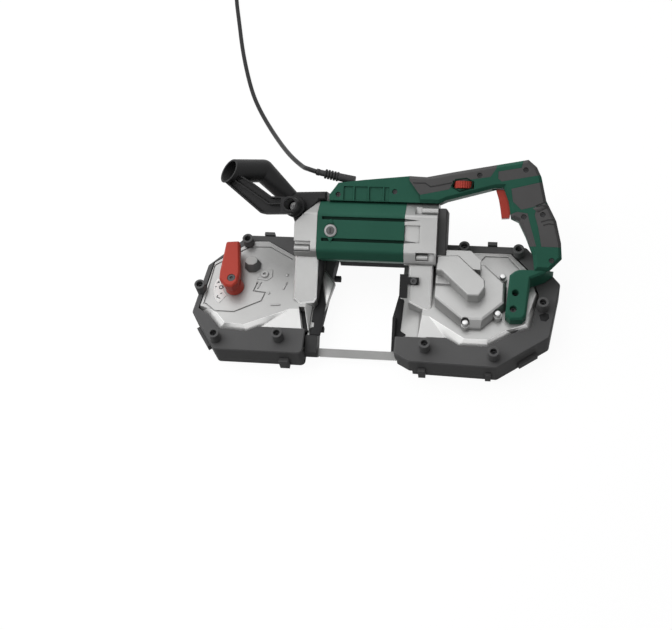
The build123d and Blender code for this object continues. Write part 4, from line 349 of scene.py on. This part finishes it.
slab("tension_scale", scale_edge, scale_face, SCALE_THICK, SCALE_SOFT, scale_white)
printed = Matrix.Translation((lever_pin.x, lever_pin.y, PLATEAU_Z + SCALE_THICK))
slab("scale_mark_slack", [(-0.0287, 0.0044), (-0.0240, 0.0060), (-0.0258, 0.0096)], printed, PRINT, PRINT_SOFT,
     print_black_and_slot_shade)
slab("scale_mark_ring", disc(SET_X, SET_Y, SET_OUT), printed, PRINT, PRINT_SOFT, print_black_and_slot_shade)
slab("scale_mark_centre", disc(SET_X, SET_Y, SET_IN), printed, 2 * PRINT, PRINT_SOFT, scale_white)
for name, run in (("scale_mark_tight", (-0.0245, -0.0185, -0.0190, -0.0205)),
                  ("scale_mark_edge", (-0.0245, -0.0185, -0.0232, -0.0150)),
                  ("scale_tick_low", (-0.0200, -0.0128, -0.0174, -0.0110)),
                  ("scale_tick_high", (-0.0300, -0.0010, -0.0274, -0.0008))):
    slab(name, strip(*run, PRINT_LINE), printed, PRINT, PRINT_SOFT, print_black_and_slot_shade)

# Cast marks: low pips and bars of light alloy that the mould leaves on the front plate, in one piece
# with the casting.
ORIGIN = Vector((-0.01346, -0.0414, 0.0))
CAST_HIGH, CAST_SOFT = 0.0013, 0.0004
PIP_R, BAR_WIDE, SMALL_PIP_R, SMALL_BAR_WIDE = 0.0021, 0.0022, 0.0015, 0.0020


def level(z):
    """Face that looks up at a height, measured from the middle of the saw's drawing."""
    return Matrix.Translation(ORIGIN + Vector((0, 0, z)))


plate_face = level(PLATEAU_Z)
for name, corners in (("cast_pip_right", disc(-0.1173, 0.0309, PIP_R)),
                      ("cast_bar_right", strip(-0.1162, 0.0182, -0.1200, 0.0063, BAR_WIDE)),
                      ("cast_pip_middle", disc(-0.1408, -0.0008, PIP_R)),
                      ("cast_bar_low", strip(-0.1351, -0.0204, -0.1210, -0.0194, BAR_WIDE)),
                      ("cast_pip_left", disc(-0.1610, 0.0168, SMALL_PIP_R)),
                      ("cast_bar_left", strip(-0.1549, 0.0170, -0.1586, 0.0064, SMALL_BAR_WIDE))):
    slab(name, corners, plate_face, CAST_HIGH, CAST_SOFT, cast_alloy)

# Spring housing: an eight-sided light-alloy stud on the front plate, drawn in towards its flat top, that
# closes the bore of the tension spring. Its sides are painted dark grey as painted shade, and its top
# pale as a painted highlight.
SPRING_X, SPRING_Y, SPRING_R, SPRING_HIGH, SPRING_SOFT = -0.1711, 0.0450, 0.0128, 0.0145, 0.0006
SPRING_TAPER, SPRING_RIM, SPRING_FACE = (0.76, 0.60), 0.0003, 0.0004
FINE_SOFT = 0.0001
stud_painted_shade = finish("stud_painted_shade", (0.17, 0.17, 0.17), (0.15, 0.15, 0.15), 0.55, 420.0, 0.0003, edge=0.0003, shine=0.2)
stud_top_painted_highlight = finish("stud_top_painted_highlight", (0.62, 0.62, 0.61), (0.56, 0.56, 0.55), 0.5, 420.0, 0.0002, edge=0.0002, shine=0.2,
                     shade_in_hollows=0.9)


def octagon(x, y, wide, deep):
    """Corners of an eight-sided outline with flat sides to the front."""
    turns = [radians(45 * (k + 0.5)) for k in range(8)]
    return [(x + wide * cos(turn), y + deep * sin(turn)) for turn in turns]


spring_stud = slab("spring_stud", octagon(SPRING_X, SPRING_Y, SPRING_R, SPRING_R), plate_face, SPRING_HIGH,
                   SPRING_SOFT, stud_painted_shade, taper=SPRING_TAPER)
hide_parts("spring_cap")
stud_wide, stud_deep = (SPRING_R * share - SPRING_RIM for share in SPRING_TAPER)
slab("spring_stud_top", octagon(SPRING_X, SPRING_Y, stud_wide, stud_deep), level(PLATEAU_Z + SPRING_HIGH), SPRING_FACE,
     FINE_SOFT, stud_top_painted_highlight)

# Throat liners: black nylon plates clipped on the castings beside the blade's opening, small tabs on
# the edge of the cover behind, and the work stop, which is screwed on. Black sheets on the right wall
# of the front column and on the floor of the slot beside it are painted shade.
FLANGE_Z, SLOT_Z, COVER_TAB_Z, COLUMN_SIDE_X = 0.0310, 0.0330, 0.0180, -0.0680
LINER_THICK, LINER_SOFT = 0.0020, 0.0005
SLOT_THICK, COLUMN_SHADE_THICK, COLUMN_SHADE_SOFT, THIN_SOFT = 0.0006, 0.0012, 0.0004, 0.0002
TAB_HALF, TAB_WIDE, TAB_HIGH, TAB_SOFT = 0.0048, 0.0066, 0.0085, 0.0008
black_nylon_and_painted_shade = finish("black_nylon_and_painted_shade", (0.030, 0.030, 0.031), (0.022, 0.022, 0.023), 0.55, 700.0, 0.0003, shine=0.15)
flange_face = level(FLANGE_Z)
column_side = Matrix(((0, 0, 1, ORIGIN.x + COLUMN_SIDE_X), (1, 0, 0, ORIGIN.y), (0, 1, 0, 0), (0, 0, 0, 1)))
slab("front_throat_liner", [(-0.0678, 0.0360), (-0.0714, -0.0126), (-0.0740, -0.0190), (-0.0740, -0.0370),
                            (-0.0705, -0.0380), (-0.0700, -0.0460), (-0.0750, -0.0480), (-0.0750, -0.0590),
                            (-0.0590, -0.0590), (-0.0575, -0.0400), (-0.0568, -0.0080)],
     flange_face, LINER_THICK, LINER_SOFT, black_nylon_and_painted_shade)
# Painted shade: black sheets on the slot floor and on the column's right wall.
slab("front_slot_painted_shade", [(-0.0918, -0.0215), (-0.0860, -0.0215), (-0.0775, -0.0545), (-0.0845, -0.0545)],
     level(SLOT_Z), SLOT_THICK, THIN_SOFT, black_nylon_and_painted_shade)
slab("front_column_painted_shade", [(-0.0080, FLANGE_Z), (0.0660, FLANGE_Z), (0.0440, 0.0755), (-0.0080, 0.0478)],
     column_side, COLUMN_SHADE_THICK, COLUMN_SHADE_SOFT, black_nylon_and_painted_shade)
slab("rear_throat_liner", [(0.0505, 0.0080), (0.0438, -0.0266), (0.0445, -0.0550), (0.0620, -0.0550),
                           (0.0640, -0.0510), (0.0562, -0.0460), (0.0566, -0.0190), (0.0570, 0.0055)],
     flange_face, LINER_THICK, LINER_SOFT, black_nylon_and_painted_shade)
for name, x, y in (("cover_tab_upper", -0.0455, 0.0416), ("cover_tab_lower", -0.0610, -0.0440)):
    slab(name, strip(x - TAB_HALF, y, x + TAB_HALF, y, TAB_WIDE), level(COVER_TAB_Z), TAB_HIGH, TAB_SOFT, black_nylon_and_painted_shade)
dress(black_nylon_and_painted_shade, "work_stop")

# Flange face: a pale alloy sheet of painted light on the corner of the front flange that the liner
# leaves open, where the motor shades it.
FLANGE_LIGHT_THICK = 0.0004
painted_light_alloy = finish("painted_light_alloy", PAINTED_HIGHLIGHT_TONE, (0.90, 0.90, 0.89), 0.36, 420.0, 0.0003, metal=0.55)
slab("front_flange_painted_light", [(-0.0560, -0.0075), (-0.0497, 0.0283), (-0.0640, 0.0478), (-0.0660, 0.0470),
                           (-0.0664, 0.0370)], flange_face, FLANGE_LIGHT_THICK, THIN_SOFT, painted_light_alloy)

# Guards and covers: black glass-filled nylon mouldings screwed round the wheels, dull with a fine
# spark-eroded texture and paler along their worn edges.
GUARD_Z, POCKET_SHADE_THICK = 0.0420, 0.0003
guard_nylon = finish("guard_nylon", (0.150, 0.150, 0.151), (0.128, 0.128, 0.129), 0.60, 800.0, 0.0003,
                     edge=0.0014, rubbed=1.0, bare=(0.30, 0.30, 0.30), shine=0.08)
dress(guard_nylon, "front_guard", "rear_guard", "front_back_cover", "rear_back_cover", "bridge_cover",
      "cover_clips", "gear_end_cap")
# Painted shade: a black sheet on the rear guard stands for the shade in a pocket.
slab("rear_guard_pocket_shade", [(0.2506, -0.0150), (0.2530, -0.0240), (0.2600, -0.0250), (0.2645, -0.0200),
                           (0.2635, -0.0130), (0.2580, -0.0118)],
     level(GUARD_Z), POCKET_SHADE_THICK, FINE_SOFT, black_nylon_and_painted_shade)

# Motor housing and rear handle: bottle-green moulded shells, satin, with grey rubber pads over-moulded
# where the hands go and a skirt below the motor.
SKIRT_X0, SKIRT_X1, SKIRT_Y0, SKIRT_Y1 = -0.0660, 0.0625, 0.0742, 0.0880
SKIRT_THICK, SKIRT_SOFT = 0.0020, 0.0006
shell_green = finish("shell_green", (0.037, 0.150, 0.102), (0.032, 0.130, 0.088), 0.45, 620.0, 0.0002, edge=0.0014,
                     shine=0.08)
soft_grey = finish("soft_grey", (0.140, 0.138, 0.138), (0.118, 0.116, 0.116), 0.72, 1100.0, 0.0003, shine=0.15)
dress(shell_green, "motor_housing", "handle_shell_near", "handle_shell_far", "handle_foot")
dress(soft_grey, "grip_insert_near", "grip_insert_far")
slab("motor_skirt", [(SKIRT_X0, SKIRT_Y0), (SKIRT_X1, SKIRT_Y0), (SKIRT_X1, SKIRT_Y1), (SKIRT_X0, SKIRT_Y1)],
     flange_face, SKIRT_THICK, SKIRT_SOFT, shell_green)

# Front of the motor: a grey brush cap, screwed in, with a ring and a slot drawn as a raised black bar of
# painted shade; points moulded on the shell above and below it that line the slot up; and dark strips of
# painted shade on the floors of the grooves in the housing and the gear head.
TILT, TOOL_Y, TOOL_Z = radians(28.0), -0.078025, 0.014
MOTOR_FRONT, GROOVE_DEEP, CAP_PROUD = 0.0180, 0.0030, 0.0015
BRUSH_X, BRUSH_T = -0.0490, 0.1760
CAP_SIDES, CAP_RING_R, CAP_DISC_R, CAP_SLOT_HALF, CAP_SLOT_WIDE = 32, 0.0080, 0.0061, 0.0038, 0.0026
CAP_RING_HIGH, CAP_DISC_HIGH, CAP_SLOT_HIGH = 0.0004, 0.0006, 0.0008
POINT_FOOT, POINT_FOOT_HALF, POINT_TIP, POINT_TIP_HALF = 0.0098, 0.0045, 0.0165, 0.0006
POINT_HIGH, POINT_SOFT = 0.0012, 0.0004
GROOVE_X0, GROOVE_X1, GROOVE_HALF, GROOVE_THICK = -0.0620, 0.0570, 0.0021, 0.0006
cap_grey = finish("cap_grey", (0.30, 0.30, 0.30), (0.25, 0.25, 0.25), 0.4, 700.0, 0.0002, metal=0.4)
ring_grey = finish("ring_grey", (0.42, 0.42, 0.42), (0.36, 0.36, 0.36), 0.4, 700.0, 0.0002, metal=0.3, edge=0.0003)
slot_grey = finish("slot_grey", (0.12, 0.12, 0.12), (0.10, 0.10, 0.10), 0.5, 700.0, 0.0002, edge=0.0003)
painted_shade_green = finish("painted_shade_green", (0.007, 0.034, 0.022), (0.005, 0.026, 0.017), 0.6, 620.0, 0.0002, shine=0.1)
painted_shade_alloy = finish("painted_shade_alloy", (0.13, 0.13, 0.13), (0.10, 0.10, 0.10), 0.5, 420.0, 0.0002, metal=0.3)


def tool_face(out):
    """Face of the tilted motor and handle, at a distance out from its own plane."""
    return (Matrix.Translation(ORIGIN + Vector((0, TOOL_Y, TOOL_Z))) @ Matrix.Rotation(TILT, 4, "X")
            @ Matrix.Translation((0, 0, out)))


motor_face, groove_floor = tool_face(MOTOR_FRONT), tool_face(MOTOR_FRONT - GROOVE_DEEP)
cap_front = tool_face(MOTOR_FRONT + CAP_PROUD)
dress(cap_grey, "brush_caps")
slab("brush_cap_ring", disc(BRUSH_X, BRUSH_T, CAP_RING_R, CAP_SIDES), cap_front, CAP_RING_HIGH, FINE_SOFT, ring_grey)
slab("brush_cap_disc", disc(BRUSH_X, BRUSH_T, CAP_DISC_R, CAP_SIDES), cap_front, CAP_DISC_HIGH, FINE_SOFT, slot_grey)
# Painted shade: the slot is a raised black bar that stands for the shade in a real slot.
slab("brush_cap_slot", strip(BRUSH_X, BRUSH_T - CAP_SLOT_HALF, BRUSH_X, BRUSH_T + CAP_SLOT_HALF, CAP_SLOT_WIDE),
     cap_front, CAP_SLOT_HIGH, FINE_SOFT, print_black_and_slot_shade)
# Painted shade: dark strips laid on the groove floors of the housing and the gear head.
for name, t, tip in (("lower", 0.1630, 0.0750), ("upper", 0.1940, 0.0770)):
    slab("motor_groove_shade_" + name, strip(GROOVE_X0, t, GROOVE_X1, t, 2 * GROOVE_HALF), groove_floor, GROOVE_THICK,
         FINE_SOFT, painted_shade_green)
    slab("head_groove_shade_" + name, [(GROOVE_X1, t - GROOVE_HALF), (tip, t), (GROOVE_X1, t + GROOVE_HALF)], groove_floor,
         GROOVE_THICK, FINE_SOFT, painted_shade_alloy)
for name, way in (("brush_point_upper", 1), ("brush_point_lower", -1)):
    foot, tip = BRUSH_T + way * POINT_FOOT, BRUSH_T + way * POINT_TIP
    slab(name, [(BRUSH_X - POINT_FOOT_HALF, foot), (BRUSH_X + POINT_FOOT_HALF, foot),
                (BRUSH_X + POINT_TIP_HALF, tip), (BRUSH_X - POINT_TIP_HALF, tip)],
         motor_face, POINT_HIGH, POINT_SOFT, shell_green)

# Lines on the rear handle: dark lines of painted shade across the soft pads where the palm bends, a pad
# that bridges two of them, and a low rim round the speed wheel, painted dark green as the shade of its recess.
HANDLE_FRONT = 0.0060
LINE_WIDE, LINE_THICK, BRIDGE_THICK = 0.0014, 0.0005, 0.0002
RIM_WIDE, RIM_HIGH, RIM_SOFT = 0.0016, 0.0008, 0.0003
SHARPEST = 0.5
pad_shade = finish("pad_shade", (0.016, 0.016, 0.016), (0.012, 0.012, 0.012), 0.75, 1100.0, 0.0002, edge=0.0002)


def ribbon(width, *points):
    """Corners of a narrow band that follows a line of points."""
    line = [Vector(point) for point in points]
    runs = [(b - a).normalized() for a, b in zip(line, line[1:])]
    left, right = [], []
    for point, back, ahead in zip(line, [runs[0]] + runs, runs + [runs[-1]]):
        way = (back + ahead).normalized()
        across = Vector((-way.y, way.x)) * width / 2 / max(way.dot(ahead), SHARPEST)
        left.append(tuple(point + across))
        right.append(tuple(point - across))
    return right + left[::-1]


handle_face = tool_face(HANDLE_FRONT)
for name, points in (("pad_wave", [(0.0650, 0.2489), (0.0823, 0.2489), (0.0905, 0.2439), (0.1200, 0.2505)]),
                     ("palm_line_first", [(0.2386, 0.2212), (0.2468, 0.2247), (0.2525, 0.2277)]),
                     ("palm_line_second", [(0.2396, 0.2197), (0.2469, 0.2220), (0.2550, 0.2209)]),
                     ("palm_line_third", [(0.2469, 0.1989), (0.2562, 0.2020), (0.2654, 0.2027)]),
                     ("palm_line_fourth", [(0.2502, 0.1943), (0.2576, 0.1966), (0.2679, 0.1954)])):
    slab(name, ribbon(LINE_WIDE, *points), handle_face, LINE_THICK, FINE_SOFT, pad_shade)
slab("pad_bridge", [(0.2346, 0.2176), (0.2419, 0.2118), (0.2552, 0.2189), (0.2513, 0.2257)], handle_face,
     BRIDGE_THICK, FINE_SOFT, soft_grey)
slab("dial_rim", ribbon(RIM_WIDE, (0.1198, 0.2453), (0.1254, 0.2550), (0.1410, 0.2572), (0.1502, 0.2525),
                        (0.1483, 0.2439), (0.1318, 0.2384), (0.1203, 0.2446)),
     handle_face, RIM_HIGH, RIM_SOFT, painted_shade_green)

# Tension lever, trigger and speed wheel: bright red moulded nylon, the controls of the saw. The switch
# and the speed module behind them are boxed in the guards' black nylon.
control_red = finish("control_red", (0.60, 0.072, 0.048), (0.53, 0.060, 0.040), 0.38, 700.0, 0.0002, edge=0.0012,
                     shine=0.2)
dress(control_red, "tension_lever", "trigger", "speed_dial")
dress(guard_nylon, "switch_body", "speed_module")

# Front handle: a hollow grip and a channel-shaped arm of black glass-filled nylon, held by a plated bolt
# through the barrel to a bracket on the cut corner of the end bracket.
handle_nylon = finish("handle_nylon", (0.030, 0.030, 0.031), (0.022, 0.022, 0.023), 0.42, 700.0, 0.0003,
                      edge=0.0012, shine=0.18)
dress(handle_nylon, "front_handle", "handle_bracket")
dress(plated_steel, "handle_bolt")

# Screws and bolts: blackened steel screws in the guards, the rear handle, the lever and the work stop,
# and plated bolts with domed heads round the worm gear cover.
BOLT_TOP, BOLT_R, BOLT_SIDES, BOLT_DOME, BOLT_SOFT = 0.0605, 0.0042, 24, 0.0012, 0.0011
black_steel = finish("black_steel", (0.060, 0.060, 0.062), (0.045, 0.045, 0.047), 0.38, 900.0, 0.0001, metal=0.5,
                     edge=0.0004)
dress(black_steel, "guard_screws", "handle_screws", "cam_shaft", "work_stop_screw")
dress(plated_steel, "gearbox_cover_bolts")
for name, x, y in (("gear_bolt_low", 0.1485, -0.0420), ("gear_bolt_right", 0.1930, -0.0255),
                   ("gear_bolt_high", 0.1975, 0.0350)):
    slab(name, disc(x, y, BOLT_R, BOLT_SIDES), level(BOLT_TOP), BOLT_DOME, BOLT_SOFT, plated_steel)

# Strain relief: a rubber sleeve on the motor cowl, with five ribs moulded round it so that it bends
# evenly.
RELIEF_TIP = ORIGIN + Vector((-0.079, 0.1626, 0.1238))
RELIEF_FOOT = ORIGIN + Vector((-0.022, 0.1524, 0.1183))
RIBS, RIB_FIRST, RIB_STEP, RIB_R, RIB_SIDES, RIB_WIDE, RIB_SOFT = 5, 0.0132, 0.0044, 0.0070, 24, 0.0024, 0.0006
relief_rubber = finish("relief_rubber", (0.052, 0.052, 0.053), (0.040, 0.040, 0.041), 0.5, 900.0, 0.0002, shine=0.2)
dress(relief_rubber, "strain_relief")
relief_aim = (RELIEF_FOOT - RELIEF_TIP).normalized()
for k in range(RIBS):
    rib_face = (Matrix.Translation(RELIEF_TIP + relief_aim * (RIB_FIRST + k * RIB_STEP))
                @ relief_aim.to_track_quat("Z", "Y").to_matrix().to_4x4())
    slab("relief_ring_%d" % (k + 1), disc(0.0, 0.0, RIB_R, RIB_SIDES), rib_face, RIB_WIDE, RIB_SOFT, relief_rubber)

# Mains cord: 7 mm black PVC lead that leaves the relief on the motor cowl, drops to the floor behind
# the saw and runs off; the spare length lies coiled and tied out of view, with its plug.
CORD_R, CORD_LENGTH, FLOOR_GAP = 0.0035, 2.62, 0.0007
CORD_Z = CORD_R + FLOOR_GAP
CORD_ROUTE = [(-0.0960, 0.1710, 0.1200), (-0.1040, 0.1829, 0.1060), (-0.1262, 0.2123, 0.0860),
              (-0.1476, 0.2470, 0.0620), (-0.1665, 0.2803, 0.0410), (-0.1846, 0.3122, 0.0240),
              (-0.2030, 0.3448, 0.0110), (-0.2198, 0.3749, 0.0050), (-0.2342, 0.4042, CORD_Z),
              (-0.2498, 0.4460, CORD_Z), (-0.2669, 0.5000, CORD_Z), (-0.2827, 0.5629, CORD_Z),
              (-0.2991, 0.6264, CORD_Z), (-0.3040, 0.6900, CORD_Z)]
TURN_GAP, COIL_IN, LAYER_TURNS = 0.0006, 8 * CORD_R, 3.5
TURN_PITCH = 2 * CORD_R + TURN_GAP
COIL_OUT = COIL_IN + TURN_PITCH / 2 + LAYER_TURNS * TURN_PITCH
RISE_END, JUMP_END, LEAVE, COIL_END = LAYER_TURNS + 0.5, LAYER_TURNS + 1.0, 6.5, 7.25
LEAVE_R = COIL_IN + (LEAVE - JUMP_END + 1) * TURN_PITCH
COIL_RADII = [(0, COIL_OUT), (RISE_END, COIL_IN), (JUMP_END, COIL_IN + TURN_PITCH), (LEAVE, LEAVE_R),
              (LEAVE + 0.25, LEAVE_R + 0.004), (LEAVE + 0.5, LEAVE_R + 0.013), (COIL_END, LEAVE_R + 0.026)]
COIL_LEVELS = [(0, CORD_Z), (LAYER_TURNS, CORD_Z), (RISE_END, CORD_Z + TURN_PITCH),
               (COIL_END, CORD_Z + TURN_PITCH)]
COIL_RUN = Vector((-0.010, 0.070, 0.0))
POINTS_A_TURN = 16
cord_pvc = finish("cord_pvc", (0.022, 0.022, 0.023), (0.014, 0.014, 0.015), 0.42, 900.0, 0.0001, shine=0.2)
tie_paper = finish("tie_paper", (0.05, 0.05, 0.05), (0.035, 0.035, 0.035), 0.5, 700.0, 0.0001)


def between(keys, turn):
    """Value at a turn, straight between the keys."""
    for (a, low), (b, high) in zip(keys, keys[1:]):
        if turn <= b:
            return low + (high - low) * (turn - a) / (b - a)
    return keys[-1][1]


cord_points = [RELIEF_TIP] + [ORIGIN + Vector(point) for point in CORD_ROUTE]
coil_aim = COIL_RUN.normalized()
start_turn = atan2(-coil_aim.x, coil_aim.y)
coil_centre = cord_points[-1] - COIL_OUT * Vector((cos(start_turn), sin(start_turn), 0))
for k in range(1, int(COIL_END * POINTS_A_TURN) + 1):
    turn = k / POINTS_A_TURN
    angle = start_turn + 2 * pi * turn
    spoke = between(COIL_RADII, turn) * Vector((cos(angle), sin(angle), 0))
    cord_points.append(Vector((coil_centre.x, coil_centre.y, between(COIL_LEVELS, turn))) + spoke)
cord_line = bpy.data.curves.new("mains_cord", "CURVE")
cord_line.dimensions = "3D"
cord_line.bevel_depth = CORD_R
cord_line.bevel_resolution = 4
cord_line.resolution_u = 5
cord_line.use_fill_caps = True
cord_spline = cord_line.splines.new("NURBS")
cord_spline.points.add(len(cord_points) - 1)
for control, point in zip(cord_spline.points, cord_points):
    control.co = (*point, 1.0)
cord_spline.order_u = 3
cord_spline.use_endpoint_u = True
mains_cord = bpy.data.objects.new("mains_cord", cord_line)
bpy.context.scene.collection.objects.link(mains_cord)
cord_line.materials.append(cord_pvc)
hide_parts("cord", "cord_coil")
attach(mains_cord, "frame")
dress(cord_pvc, "plug")
dress(tie_paper, "coil_tie")

bpy.context.view_layer.update()
